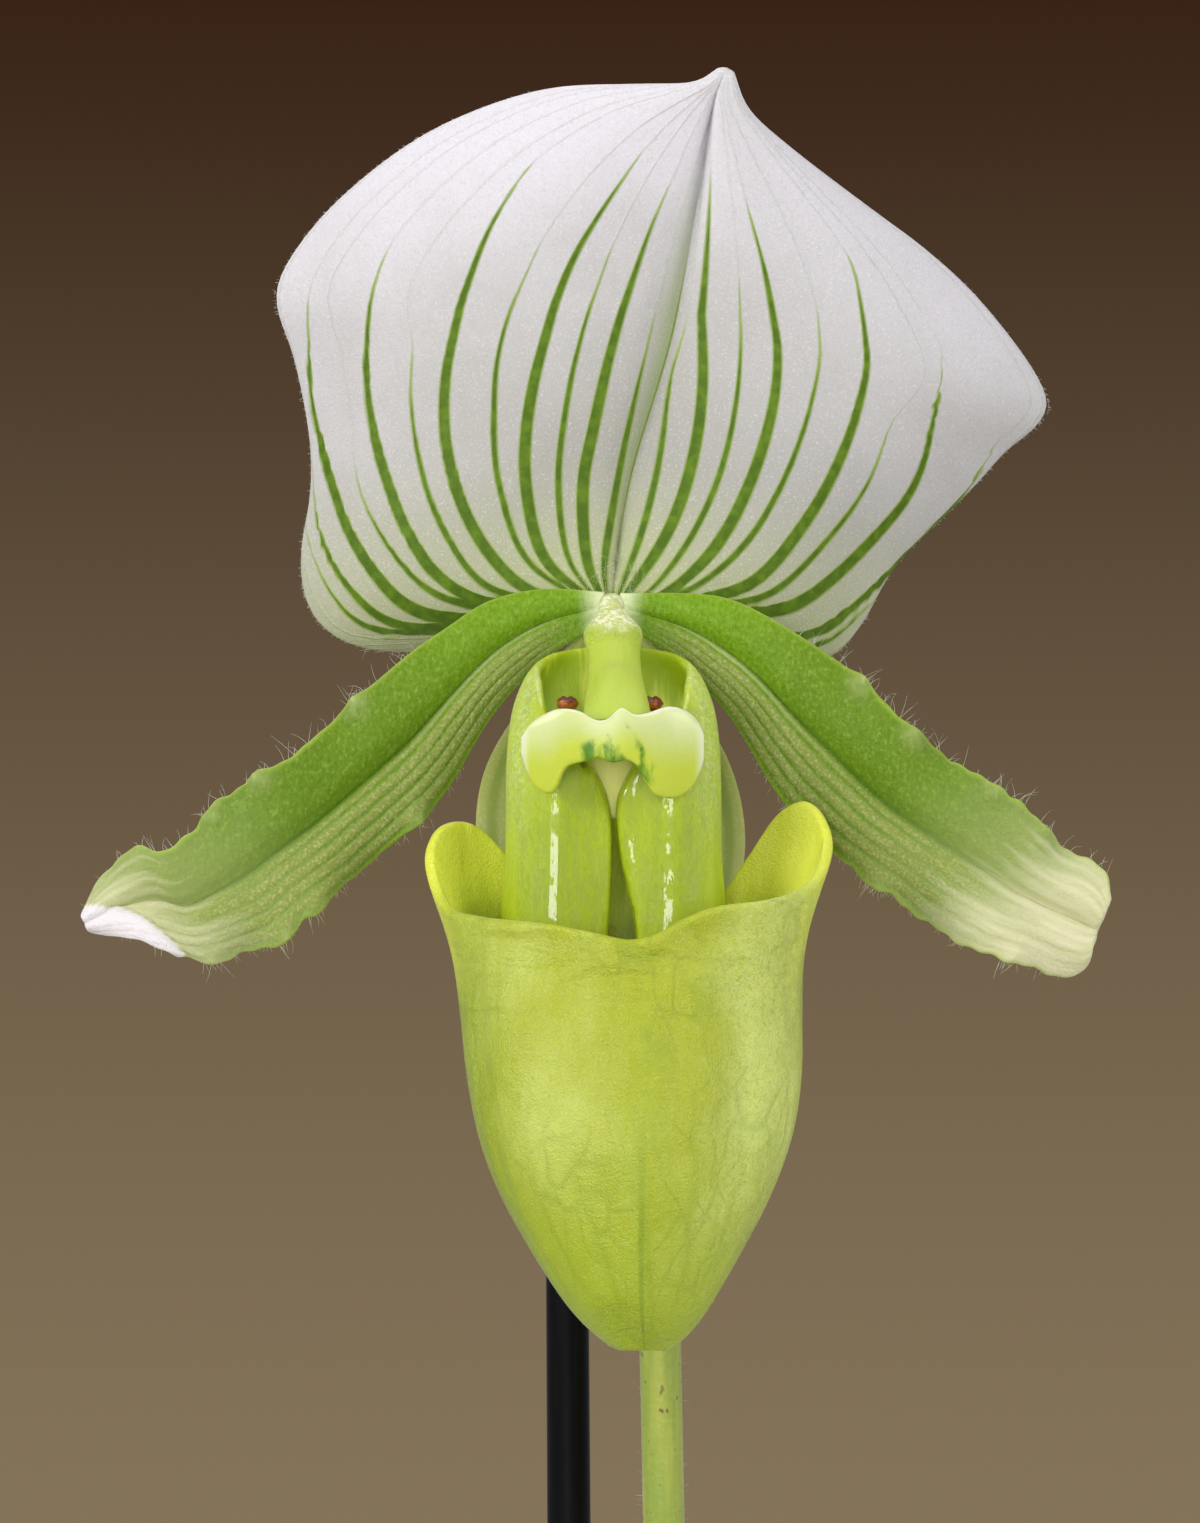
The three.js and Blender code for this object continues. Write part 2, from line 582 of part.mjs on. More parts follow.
// Column: the fused stalk that ends under the shield, with the stigma hanging behind the slit
function columnGeometry() {
  const route = curveThrough([[-0.1, -0.9, 0.4], [0, -3.4, -1.6], [0.2, -8, -5.4], [0.45, -13.15, -10.05]]);
  const across = track([[0, 1], [0.2, 1.5], [0.45, 2.4], [0.8, 2.7], [1, 2.9]]);
  const stalk = limb(route, (share) => [across(share), lerp(1.1, 1.8, share)], 14, 10);
  const stigma = new THREE.SphereGeometry(1, 12, 8).scale(2.9, 0.9, 6.7).translate(0.45, -7.8, -11.9);
  return geometryFrom(solidFrom(stalk).add(solidFrom(stigma)));
}

// Staminode: the pale shield at the column's tip, two lobes over an arch, with a point between
const SHIELD_TOP = [
  [-7.6, -12.2], [-6.8, -10.7], [-4.5, -9.4], [-2, -9.8], [0.3, -10.2], [1.2, -8.9], [2.1, -9.9],
  [3.4, -9.6], [5.3, -9.4], [6.9, -10.8], [7.6, -12.6],
];
const SHIELD_FOOT = [
  [-7.6, -13.2], [-6.5, -15.2], [-4.8, -16.2], [-3.3, -14.5], [-1.1, -13.8], [1.2, -14], [2.9, -15.6],
  [4.2, -17], [5.8, -17.1], [7.1, -16], [7.6, -14.2],
];

function staminodeSurface() {
  const top = track(SHIELD_TOP);
  const foot = track(SHIELD_FOOT);
  return (u, v) => {
    const x = 7.6 * Math.sin((u - 0.5) * Math.PI);
    const z = lerp(foot(x), top(x), v);
    const dish = 0.045 * x ** 2 + 0.02 * (z + 12) ** 2;
    return vector(x, dish - 15.4, z);
  };
}

function antherGeometry(side) {
  const centre = side < 0 ? [-4.2, -10.2, -8.3] : [4.4, -10.2, -8.3];
  return new THREE.SphereGeometry(1, 8, 6).scale(1.15, 1, 0.85).translate(...centre);
}

function part(name, geometry, color, roughness = 0.6) {
  const material = new THREE.MeshStandardMaterial({ color, roughness, metalness: 0 });
  const mesh = new THREE.Mesh(geometry, material);
  mesh.name = name;
  return mesh;
}

// Leaves stand in a group at their fan's centre, each turned to its own side
function fanGroup(name, fan, leaves, color) {
  const group = new THREE.Group();
  group.position.set(...fan.centre, 0);
  leaves.forEach((leaf, k) => {
    const mesh = part(`${name}_${k + 1}`, leafGeometry(leaf), color, 0.45);
    mesh.rotation.z = degToRad(leaf.azimuth + fan.turn);
    group.add(mesh);
  });
  return group;
}

function bractMesh() {
  const bract = part("floral_bract", leafGeometry(BRACT), "#8fa45a");
  const [x, y] = STEM_ROUTE[STEM_ROUTE.length - 1];
  bract.position.set(x, y, 0);
  bract.rotation.z = degToRad(75);
  return bract;
}

const bloom = new THREE.Group();
bloom.position.set(...HEART);
bloom.add(part("ovary", ovaryGeometry(), "#8a9a45"));
bloom.add(part("synsepal", synsepalGeometry(), "#c9d68f"));
bloom.add(part("dorsal_sepal", dorsalSepalGeometry(), "#ece8ec"));
bloom.add(part("petal_left", petalGeometry(PETAL_LEFT), "#6f9a2a"));
bloom.add(part("petal_right", petalGeometry(PETAL_RIGHT), "#6f9a2a"));
bloom.add(part("lip_pouch", lipGeometry(), "#b0ba3c", 0.5));
bloom.add(part("column", columnGeometry(), "#c9d760", 0.5));
bloom.add(part("staminode", sheet(staminodeSurface(), 20, 4, STAMINODE_THICKNESS), "#cdd870", 0.45));
bloom.add(part("anther_left", antherGeometry(-1), "#9a4a18", 0.4));
bloom.add(part("anther_right", antherGeometry(1), "#9a4a18", 0.4));

const orchid = new THREE.Group();
orchid.add(part("pot", potGeometry(), "#b5693f", 0.85));
orchid.add(part("potting_mix", mixGeometry(), "#5a3d28", 0.95));
orchid.add(part("stake", stakeGeometry(), "#0b0a0a", 0.3));
orchid.add(part("stem_clip", clipGeometry(), "#3d5a2c", 0.5));
orchid.add(part("flower_stem", rod(stemCurve(), STEM_RADIUS, 10, 24), "#a2b152"));
orchid.add(bractMesh());
orchid.add(fanGroup("leaf", MAIN_FAN, MAIN_LEAVES, "#4c7a3a"));
orchid.add(fanGroup("young_leaf", YOUNG_FAN, YOUNG_LEAVES, "#5c8a41"));
orchid.add(bloom);

export default orchid;
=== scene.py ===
import math
import random
from bisect import bisect_right

import bmesh
import bpy
from bpy.props import FloatProperty, FloatVectorProperty, IntProperty, PointerProperty
from mathutils import Matrix, Vector


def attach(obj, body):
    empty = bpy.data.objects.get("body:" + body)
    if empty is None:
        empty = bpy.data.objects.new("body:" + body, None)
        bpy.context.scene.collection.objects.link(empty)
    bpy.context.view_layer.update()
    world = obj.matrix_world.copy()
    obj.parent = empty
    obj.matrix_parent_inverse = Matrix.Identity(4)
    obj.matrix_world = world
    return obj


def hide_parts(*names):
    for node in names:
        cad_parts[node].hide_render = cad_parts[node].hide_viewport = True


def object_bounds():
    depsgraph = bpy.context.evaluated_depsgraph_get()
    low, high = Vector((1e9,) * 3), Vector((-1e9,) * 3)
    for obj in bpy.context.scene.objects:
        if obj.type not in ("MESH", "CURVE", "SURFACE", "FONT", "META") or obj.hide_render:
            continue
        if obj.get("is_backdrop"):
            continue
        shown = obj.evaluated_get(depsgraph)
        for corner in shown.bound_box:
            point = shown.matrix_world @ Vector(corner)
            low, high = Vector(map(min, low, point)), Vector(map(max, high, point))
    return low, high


bl_info = {
    "name": "Potted Slipper Orchid",
    "version": (1, 0, 0),
    "blender": (4, 5, 0),
    "location": "View3D > Sidebar > Orchid",
    "description": "Dresses the orchid's frame: bloom, stem, stake, leaves, bark and clay pot",
    "category": "Object",
}

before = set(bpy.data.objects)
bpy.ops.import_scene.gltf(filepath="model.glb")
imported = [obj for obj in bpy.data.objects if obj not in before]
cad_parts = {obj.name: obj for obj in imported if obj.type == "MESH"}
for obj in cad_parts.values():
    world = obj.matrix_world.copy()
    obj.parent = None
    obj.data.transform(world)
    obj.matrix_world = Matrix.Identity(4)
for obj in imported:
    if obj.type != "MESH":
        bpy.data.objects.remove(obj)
CAD_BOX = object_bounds()

MM = 0.001
SEAM = 1e-6
TAU = 2 * math.pi

# Places of the plant's parts, in millimetres
HEART = Vector((1.1, -20.0, 368.0))
STEM_RADIUS = 2.0
STEM_ROUTE = [(8, 5, 74.4), (8.2, 5.2, 140), (6.9, 5.8, 230), (5.9, 6, 290), (5, 6, 325.7)]
STAKE_RADIUS = 2.0
STAKE_FOOT = Vector((-1.5, 25, 40))
STAKE_TOP = Vector((-3.4, 10, 344))
CLIP_BASE = 312.0
CLIP_HEIGHT = 6.0
SEAT_GAP = 0.35
POT_HEIGHT = 106.0
POT_TOP_RADIUS = 61.0
POT_BASE_RADIUS = 43.0
POT_WALL = 5.0
POT_FLOOR = 7.0
BARK_TOP = 95.0


# Numbers along a line

def lerp(a, b, share):
    return a + (b - a) * share


def clamp(x, low, high):
    return max(low, min(high, x))


def smoothstep(x, low, high):
    k = clamp((x - low) / (high - low), 0, 1)
    return k * k * (3 - 2 * k)


def bump(x, width):
    return math.exp(-((x / width) ** 2))


def track(pairs):
    """A smooth value read along a list of (place, value) pairs."""
    places = [place for place, _ in pairs]
    values = [value for _, value in pairs]
    last = len(pairs) - 1
    slopes = []
    for i in range(last + 1):
        a, b = max(i - 1, 0), min(i + 1, last)
        slopes.append((values[b] - values[a]) / (places[b] - places[a]))

    def at(place):
        if place <= places[0]:
            return values[0]
        if place >= places[-1]:
            return values[-1]
        i = bisect_right(places, place) - 1
        span = places[i + 1] - places[i]
        t = (place - places[i]) / span
        return (
            (2 * t**3 - 3 * t**2 + 1) * values[i]
            + (t**3 - 2 * t**2 + t) * span * slopes[i]
            + (3 * t**2 - 2 * t**3) * values[i + 1]
            + (t**3 - t**2) * span * slopes[i + 1]
        )

    return at


def measured(points):
    """A fine polyline read by its share of length."""
    lengths = [0.0]
    for p, q in zip(points, points[1:]):
        lengths.append(lengths[-1] + (q - p).length)

    def at(share):
        want = clamp(share, 0, 1) * lengths[-1]
        i = clamp(bisect_right(lengths, want) - 1, 0, len(points) - 2)
        span = lengths[i + 1] - lengths[i]
        return points[i].lerp(points[i + 1], (want - lengths[i]) / span if span else 0)

    at.length = lengths[-1]
    return at


def outline(points, steps=24):
    """A smooth curve through flat (x, z) points, read by its share of length."""
    knots = [Vector(point) for point in points]
    last = len(knots) - 1
    fine = []
    for i in range(last):
        a, b, c, d = (knots[clamp(k, 0, last)] for k in (i - 1, i, i + 1, i + 2))
        for k in range(steps):
            t = k / steps
            bend = (2 * a - 5 * b + 4 * c - d) * t**2 + (3 * b - a - 3 * c + d) * t**3
            fine.append(0.5 * (2 * b + (c - a) * t + bend))
    return measured(fine + [knots[-1]])


def curve_through(points, steps=24):
    """A smooth curve in space, with no loops where its points lie close together."""
    knots = [Vector(point) for point in points]
    knots = [2 * knots[0] - knots[1]] + knots + [2 * knots[-1] - knots[-2]]
    fine = []
    for a, b, c, d in zip(knots, knots[1:], knots[2:], knots[3:]):
        ab, bc, cd = ((q - p).length ** 0.5 for p, q in ((a, b), (b, c), (c, d)))
        leave = ((b - a) / ab - (c - a) / (ab + bc) + (c - b) / bc) * bc
        reach = ((c - b) / bc - (d - b) / (bc + cd) + (d - c) / cd) * bc
        for k in range(steps):
            t = k / steps
            ends = b * (2 * t**3 - 3 * t**2 + 1) + c * (3 * t**2 - 2 * t**3)
            fine.append(ends + leave * (t**3 - 2 * t**2 + t) + reach * (t**3 - t**2))
    return measured(fine + [Vector(points[-1])])


def heading(curve, share, step=2e-3):
    """The unit direction of a curve."""
    return (curve(min(share + step, 1)) - curve(max(share - step, 0))).normalized()


def normal_of(surface, u, v, step=1e-3):
    """The unit normal of a surface, on the side from which u runs right and v runs up."""
    across = surface(min(u + step, 1), v) - surface(max(u - step, 0), v)
    along = surface(u, min(v + step, 1)) - surface(u, max(v - step, 0))
    return across.cross(along).normalized()


# Pieces

def finish_piece(name, bm, materials, replaces=(), slot=None, smooth=True):
    """Turns a bmesh into a piece that rides on the plant."""
    mesh = bpy.data.meshes.new(name)
    bm.to_mesh(mesh)
    bm.free()
    return finish_mesh(name, mesh, materials, replaces, slot, smooth)


def finish_mesh(name, mesh, materials, replaces=(), slot=None, smooth=True):
    mesh.polygons.foreach_set("use_smooth", [smooth] * len(mesh.polygons))
    for material in materials:
        mesh.materials.append(material)
    piece = bpy.data.objects.new(name, mesh)
    bpy.context.collection.objects.link(piece)
    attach(piece, "root")
    if replaces:
        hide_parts(*replaces)
    return piece


def refine(piece):
    """Rounds a piece's faces and rims."""
    finer = piece.modifiers.new("rounding", "SUBSURF")
    finer.levels = 1
    finer.render_levels = 1
    return piece


def bent_grid(place, columns, rows, pattern=None):
    """A flat grid bent on to place(u, v), in millimetres. Its UV map holds (u, v), and the vertex
    attribute "pattern" holds the three numbers of pattern(u, v) that its material reads."""
    bm = bmesh.new()
    bm.loops.layers.uv.new("UVMap")
    bmesh.ops.create_grid(bm, x_segments=columns, y_segments=rows, size=0.5, calc_uvs=True)
    layer = bm.verts.layers.float_vector.new("pattern")
    for vert in bm.verts:
        u, v = (clamp(share + 0.5, 0, 1) for share in vert.co.xy)
        vert[layer] = pattern(u, v) if pattern else (u, v, 0)
        vert.co = place(u, v) * MM
    return bm


def sheet_piece(name, surface, columns, rows, thickness, materials, replaces=(), slot=None,
                origin=Vector(), turn=0.0, pattern=None, closed=False, thin=0.45):
    """A living sheet: a grid bent on to surface(u, v), given a wall that thins at its margins and
    rounded off. A closed one meets itself at its sides."""
    bm = bent_grid(lambda u, v: surface(u, v) + origin, columns, rows, pattern)
    if turn:
        centre = Vector((origin.x, origin.y, 0)) * MM
        bmesh.ops.rotate(bm, verts=bm.verts, cent=centre, matrix=Matrix.Rotation(turn, 3, "Z"))
    if closed:
        bmesh.ops.remove_doubles(bm, verts=bm.verts, dist=SEAM)
        bmesh.ops.recalc_face_normals(bm, faces=bm.faces)
    body = bm.verts.layers.deform.verify()
    for vert in bm.verts:
        vert[body][0] = 0.0 if vert.is_boundary else 1.0
    for _ in range(2):
        soften_weights(bm, body)
    piece = finish_piece(name, bm, materials, replaces, slot)
    piece.vertex_groups.new(name="body")
    wall = piece.modifiers.new("wall", "SOLIDIFY")
    wall.thickness = thickness * MM
    wall.offset = 0
    wall.vertex_group = "body"
    wall.thickness_vertex_group = thin
    wall.material_offset = len(materials) - 1
    return refine(piece)


def soften_weights(bm, layer):
    """Spreads each vertex's weight over its neighbours."""
    spread = {}
    for vert in bm.verts:
        near = [edge.other_vert(vert)[layer][0] for edge in vert.link_edges]
        spread[vert] = (vert[layer][0] + sum(near)) / (1 + len(near))
    for vert, weight in spread.items():
        vert[layer][0] = weight


def limb_grid(curve, radii, sides, steps, origin=Vector(), pattern=None):
    """A closed limb along a curve; radii(share, angle) are (across, upright), in millimetres."""
    def place(u, v):
        tangent = heading(curve, v)
        side = (Vector((1, 0, 0)) - tangent * tangent.x).normalized()
        up = tangent.cross(side)
        across, upright = radii(v, u * TAU)
        offset = side * (across * math.cos(u * TAU)) + up * (upright * math.sin(u * TAU))
        return curve(v) + offset + origin

    bm = bent_grid(place, sides, steps, pattern)
    bmesh.ops.remove_doubles(bm, verts=bm.verts, dist=SEAM)
    rims = [edge for edge in bm.edges if edge.is_boundary]
    bmesh.ops.holes_fill(bm, edges=rims, sides=0)
    bmesh.ops.recalc_face_normals(bm, faces=bm.faces)
    return bm


def turned(profile, steps):
    """A round solid: a profile of (radius, z) from axis to axis, spun once round Z."""
    bm = bmesh.new()
    verts = [bm.verts.new((radius * MM, 0, z * MM)) for radius, z in profile]
    edges = [bm.edges.new(pair) for pair in zip(verts, verts[1:])]
    bmesh.ops.spin(bm, geom=verts + edges, cent=(0, 0, 0), axis=(0, 0, 1), angle=TAU,
                   steps=steps, use_merge=True)
    bmesh.ops.remove_doubles(bm, verts=bm.verts, dist=SEAM)
    bmesh.ops.recalc_face_normals(bm, faces=bm.faces)
    return bm


def add_cylinder(bm, radius, height, segments, centre):
    """An upright cylinder, in millimetres."""
    bmesh.ops.create_cone(
        bm, cap_ends=True, segments=segments, radius1=radius * MM, radius2=radius * MM,
        depth=height * MM, matrix=Matrix.Translation(Vector(centre) * MM),
    )


def evaluated_mesh(holder):
    """The mesh that an object shows, modifiers and all, without its materials."""
    view = bpy.context.evaluated_depsgraph_get()
    mesh = bpy.data.meshes.new_from_object(holder.evaluated_get(view))
    mesh.materials.clear()
    return mesh


def bored(name, bm, cutters):
    """The mesh of a bmesh with the cutters' bmesh taken out of it."""
    holders = []
    for role, shape in (("blank", bm), ("bore", cutters)):
        mesh = bpy.data.meshes.new(f"{name}_{role}")
        shape.to_mesh(mesh)
        shape.free()
        holder = bpy.data.objects.new(mesh.name, mesh)
        bpy.context.collection.objects.link(holder)
        holders.append(holder)
    blank, bore = holders
    cut = blank.modifiers.new("bore", "BOOLEAN")
    cut.operation = "DIFFERENCE"
    cut.object = bore
    mesh = evaluated_mesh(blank)
    for holder in holders:
        bpy.data.objects.remove(holder)
    return mesh


def ease(piece, width):
    """Rounds a piece's sharp edges by a width in millimetres."""
    bevel = piece.modifiers.new("easing", "BEVEL")
    bevel.width = width * MM
    bevel.segments = 3
    bevel.limit_method = "ANGLE"
    bevel.angle_limit = math.radians(35)
    bevel.harden_normals = False


def hair_piece(name, hairs, thickness, material, seed):
    """Fine tapered hairs in one mesh. Each hair is (root, direction, length) in millimetres."""
    chance = random.Random(seed)
    strand = bpy.data.curves.new(name, "CURVE")
    strand.dimensions = "3D"
    strand.bevel_depth = thickness / 2 * MM
    strand.bevel_resolution = 0
    strand.use_fill_caps = True
    joints = 3
    for root, direction, length in hairs:
        curl = Vector(chance.uniform(-0.45, 0.45) for _ in range(3)) - Vector((0, 0, 0.12))
        spline = strand.splines.new("POLY")
        spline.points.add(joints)
        for k, point in enumerate(spline.points):
            share = k / joints
            place = root + direction * (length * (share - 0.05)) + curl * (length * share**2)
            point.co = (*(place * MM), 1)
            point.radius = lerp(1, 0.25, share)
    holder = bpy.data.objects.new(name + "_strands", strand)
    bpy.context.collection.objects.link(holder)
    mesh = evaluated_mesh(holder)
    bpy.data.objects.remove(holder)
    return finish_mesh(name, mesh, [material])


def margin_hairs(surface, edge, span, count, length, chance, spread=0.7):
    """Hairs that stand out from the margin of a sheet, where u is edge and v lies in span."""
    hairs = []
    for _ in range(count):
        v = chance.uniform(*span)
        root = surface(edge, v)
        out = (root - surface(lerp(edge, 0.5, 0.08), v)).normalized()
        along = heading(lambda share: surface(edge, share), v)
        face = out.cross(along)
        lean = face * chance.uniform(-spread, spread) + along * chance.uniform(-0.5, 0.5)
        hairs.append((root + HEART, (out + lean).normalized(), length * chance.uniform(0.45, 1.2)))
    return hairs


def face_hairs(surface, u_span, v_span, count, length, chance, side=1):
    """Hairs that stand on one face of a sheet and lean towards its tip."""
    hairs = []
    for _ in range(count):
        u, v = chance.uniform(*u_span), chance.uniform(*v_span)
        face = normal_of(surface, u, v) * side
        along = heading(lambda share: surface(u, share), v)
        lean = along * chance.uniform(-0.3, 0.7) + Vector(chance.uniform(-0.35, 0.35) for _ in range(3))
        direction = (face + lean).normalized()
        root = surface(u, v) + face * 0.3 + HEART
        hairs.append((root, direction, length * chance.uniform(0.5, 1.2)))
    return hairs


# Shades that fleck or edge the colours of the settings, and painted shade, painted light and painted sheen
SEPAL_RIGHT_SHADE = (0.42, 0.41, 0.41)
SEPAL_FOOT = (0.46, 0.51, 0.2)
SEPAL_GLINT = (0.86, 0.84, 0.88)
SEPAL_PIT_SHADE = (0.36, 0.38, 0.31)
SEPAL_RIDGE = (0.42, 0.5, 0.25)
SEPAL_GROOVE_SHADE = (0.24, 0.33, 0.07)
VEIN_HALO = (0.27, 0.38, 0.05)
PETAL_FUZZ = (0.24, 0.3, 0.06)
PETAL_FIRST_STRIPE = (0.5, 0.56, 0.27)
PETAL_LIGHT_SPECK = (0.32, 0.43, 0.09)
PETAL_DARK_SPECK = (0.06, 0.13, 0.002)
PETAL_STREAK = (0.09, 0.17, 0.004)
PETAL_GROOVE_SHADE = (0.06, 0.15, 0.002)
PETAL_DUST = (0.4, 0.46, 0.17)
PETAL_ROOT = (0.78, 0.84, 0.5)
PETAL_RIM = (0.36, 0.48, 0.06)
PETAL_FLAP = (0.78, 0.73, 0.75)
SYNSEPAL_ROOT = (0.44, 0.48, 0.13)
SYNSEPAL_TIP = (0.64, 0.68, 0.34)
SYNSEPAL_GLINT = (0.78, 0.8, 0.62)
SYNSEPAL_VEIN = (0.24, 0.35, 0.05)
LIP_FLANK_SHEEN = (0.6, 0.68, 0.22)
LIP_LEFT_SHADE = (0.24, 0.33, 0.006)
LIP_MIDDLE_SHADE = (0.35, 0.43, 0.015)
LIP_GLINT = (0.62, 0.7, 0.24)
LIP_PIT_SHADE = (0.24, 0.32, 0.01)
LIP_EAR_PAINTED_LIGHT = (0.72, 0.77, 0.07)
NECK_LOW = (0.36, 0.46, 0.006)
NECK_HIGH = (0.42, 0.54, 0.012)
NECK_STREAK = (0.28, 0.38, 0.004)
NECK_LIT_LINING = (0.34, 0.47, 0.012)
NECK_LIT_LINING_STREAK = (0.66, 0.76, 0.1)
NECK_LIT_DEPTH = (0.52, 0.66, 0.02)
NECK_LIT_DEPTH_STREAK = (0.8, 0.88, 0.14)
NECK_DOWN = (0.6, 0.72, 0.3)
NECK_EDGE = (0.72, 0.78, 0.3)
SHIELD_CLOUD = (0.48, 0.58, 0.05)
SHIELD_RIM = (0.82, 0.84, 0.66)
SHIELD_MARK = (0.08, 0.24, 0.006)
COLUMN_BEADS = (0.56, 0.64, 0.2)
COLUMN_STREAK = (0.36, 0.5, 0.03)
COLUMN_TIP = (0.5, 0.62, 0.14)
STIGMA_CREAM_AND_LIGHT = (0.95, 0.94, 0.24)
STALK_SPECK = (0.16, 0.1, 0.03)
STEM_DARK = (0.26, 0.35, 0.045)
OVARY_LIGHT = (0.3, 0.37, 0.07)
OVARY_DARK = (0.2, 0.27, 0.04)
BRACT_LIGHT = (0.33, 0.42, 0.12)
BRACT_DARK = (0.24, 0.32, 0.07)
LEAF_RIB = (0.03, 0.07, 0.015)
LEAF_FOOT = (0.3, 0.38, 0.13)
LEAF_KEEL = (0.3, 0.38, 0.16)
LEAF_BACK = (0.17, 0.25, 0.09)
LEAF_FLUSH = (0.1, 0.03, 0.045)
YOUNG_PALE = (0.22, 0.33, 0.1)
YOUNG_DARK = (0.055, 0.13, 0.025)
YOUNG_BACK = (0.2, 0.29, 0.1)
YOUNG_FLUSH = (0.12, 0.05, 0.06)
CLAY_SPECKLE = (0.2, 0.08, 0.035)
CLAY_DUST = (0.62, 0.52, 0.43)
BARK_CRACK = (0.035, 0.018, 0.01)
BARK_DUST = (0.36, 0.26, 0.17)
STAKE_FIBRE = (0.005, 0.0045, 0.005)
CLIP_GRAIN = (0.035, 0.1, 0.02)
DOWN_WHITE = (0.7, 0.7, 0.62)
DOWN_GREY = (0.5, 0.54, 0.36)
DOWN_TAN = (0.42, 0.42, 0.24)
DOWN_BROWN = (0.2, 0.14, 0.07)
FLOOR_DARK = (0.62, 0.6, 0.57)
FLOOR_LIGHT = (0.68, 0.66, 0.63)
BACKDROP_LOW = (0.24, 0.18, 0.105)
BACKDROP_HIGH = (0.032, 0.01, 0.004)
SKY = (0.2, 0.2, 0.205)


# Finishes

class Graph:
    """Builds a node tree. A value may be a number, a colour or another node's output."""

    def __init__(self, tree):
        self.tree = tree

    def feed(self, socket, value):
        if isinstance(value, bpy.types.NodeSocket):
            self.tree.links.new(value, socket)
        elif socket.type == "RGBA":
            socket.default_value = (*value[:3], 1)
        else:
            socket.default_value = value

    def node(self, kind, inputs=None, **settings):
        node = self.tree.nodes.new("ShaderNode" + kind)
        for name, value in settings.items():
            setattr(node, name, value)
        for name, value in (inputs or {}).items():
            self.feed(node.inputs[name], value)
        return node

    def math(self, operation, a, b=0.0, limit=False):
        return self.node("Math", {0: a, 1: b}, operation=operation, use_clamp=limit).outputs[0]

    def paint(self, shader, colour, normal):
        self.feed(shader.inputs["Base Color"], colour)
        self.feed(shader.inputs["Normal"], normal)

    def plus(self, a, b, limit=False):
        return self.math("ADD", a, b, limit)

    def less(self, a, b, limit=False):
        return self.math("SUBTRACT", a, b, limit)

    def times(self, a, b, limit=False):
        return self.math("MULTIPLY", a, b, limit)

    def most(self, a, b):
        return self.math("MAXIMUM", a, b)

    def opposite(self, share, limit=False):
        return self.less(1.0, share, limit)

    def away(self, value, centre):
        return self.math("ABSOLUTE", self.less(value, centre))

    def mix(self, share, a, b, blend="MIX"):
        inputs = {0: share, 6: a, 7: b}
        return self.node("Mix", inputs, data_type="RGBA", blend_type=blend).outputs[2]

    def blend(self, share, a, b):
        return self.node("Mix", {0: share, 2: a, 3: b}, data_type="FLOAT").outputs[0]

    def step(self, value, low, high, start=0.0, end=1.0):
        inputs = {0: value, 1: low, 2: high, 3: start, 4: end}
        return self.node("MapRange", inputs, interpolation_type="SMOOTHSTEP").outputs[0]

    def object_place(self):
        return self.node("TexCoord").outputs["Object"]

    def uv(self):
        split = self.node("SeparateXYZ", {0: self.node("UVMap", uv_map="UVMap").outputs[0]})
        return split.outputs[0], split.outputs[1]

    def pattern(self):
        """The three numbers that a piece's vertices carry."""
        numbers = self.node("Attribute", attribute_name="pattern").outputs["Vector"]
        return self.node("SeparateXYZ", {0: numbers}).outputs[:3]

    def join(self, x, y, z=0.0):
        return self.node("CombineXYZ", {0: x, 1: y, 2: z}).outputs[0]

    def stretch(self, vector, factors):
        return self.node("VectorMath", {0: vector, 1: factors}, operation="MULTIPLY").outputs[0]

    def noise(self, vector, scale, detail=2.0, roughness=0.5, distortion=0.0):
        inputs = {"Vector": vector, "Scale": scale, "Detail": detail, "Roughness": roughness,
                  "Distortion": distortion}
        return self.node("TexNoise", inputs).outputs[0]

    def cells(self, vector, scale, feature="F1", output="Distance"):
        inputs = {"Vector": vector, "Scale": scale}
        return self.node("TexVoronoi", inputs, feature=feature).outputs[output]

    def relief(self, height, strength, distance, normal=None):
        inputs = {"Height": height, "Strength": strength, "Distance": distance * MM}
        if normal:
            inputs["Normal"] = normal
        return self.node("Bump", inputs).outputs[0]

    def shared(self, tree, inputs):
        group = self.tree.nodes.new("ShaderNodeGroup")
        group.node_tree = tree
        for name, value in inputs.items():
            self.feed(group.inputs[name], value)
        return group.outputs


def shared_effect(name, inputs, outputs, build):
    """A node group made once. inputs and outputs are (name, kind, default) and (name, kind)."""
    if name in bpy.data.node_groups:
        return bpy.data.node_groups[name]
    tree = bpy.data.node_groups.new(name, "ShaderNodeTree")
    for label, kind, default in inputs:
        socket = tree.interface.new_socket(label, in_out="INPUT", socket_type="NodeSocket" + kind)
        socket.default_value = default
    for label, kind in outputs:
        tree.interface.new_socket(label, in_out="OUTPUT", socket_type="NodeSocket" + kind)
    graph = Graph(tree)
    entry = tree.nodes.new("NodeGroupInput").outputs
    leave = tree.nodes.new("NodeGroupOutput")
    for label, value in build(graph, entry).items():
        tree.links.new(value, leave.inputs[label])
    return tree


def stripe_effect():
    """Stripes along whole numbers of Place, each as wide as twice Half Width."""
    def build(graph, entry):
        offset = graph.math("FRACT", graph.plus(entry["Place"], 0.5))
        away = graph.away(offset, 0.5)
        near = graph.less(entry["Half Width"], entry["Softness"])
        far = graph.plus(entry["Half Width"], entry["Softness"])
        mask = graph.step(away, near, far, 1.0, 0.0)
        shown = graph.step(entry["Half Width"], 0.0, 0.03)
        return {"Mask": graph.times(mask, shown)}

    inputs = [("Place", "Float", 0.0), ("Half Width", "Float", 0.1), ("Softness", "Float", 0.03)]
    return shared_effect("Vein stripes", inputs, [("Mask", "Float")], build)


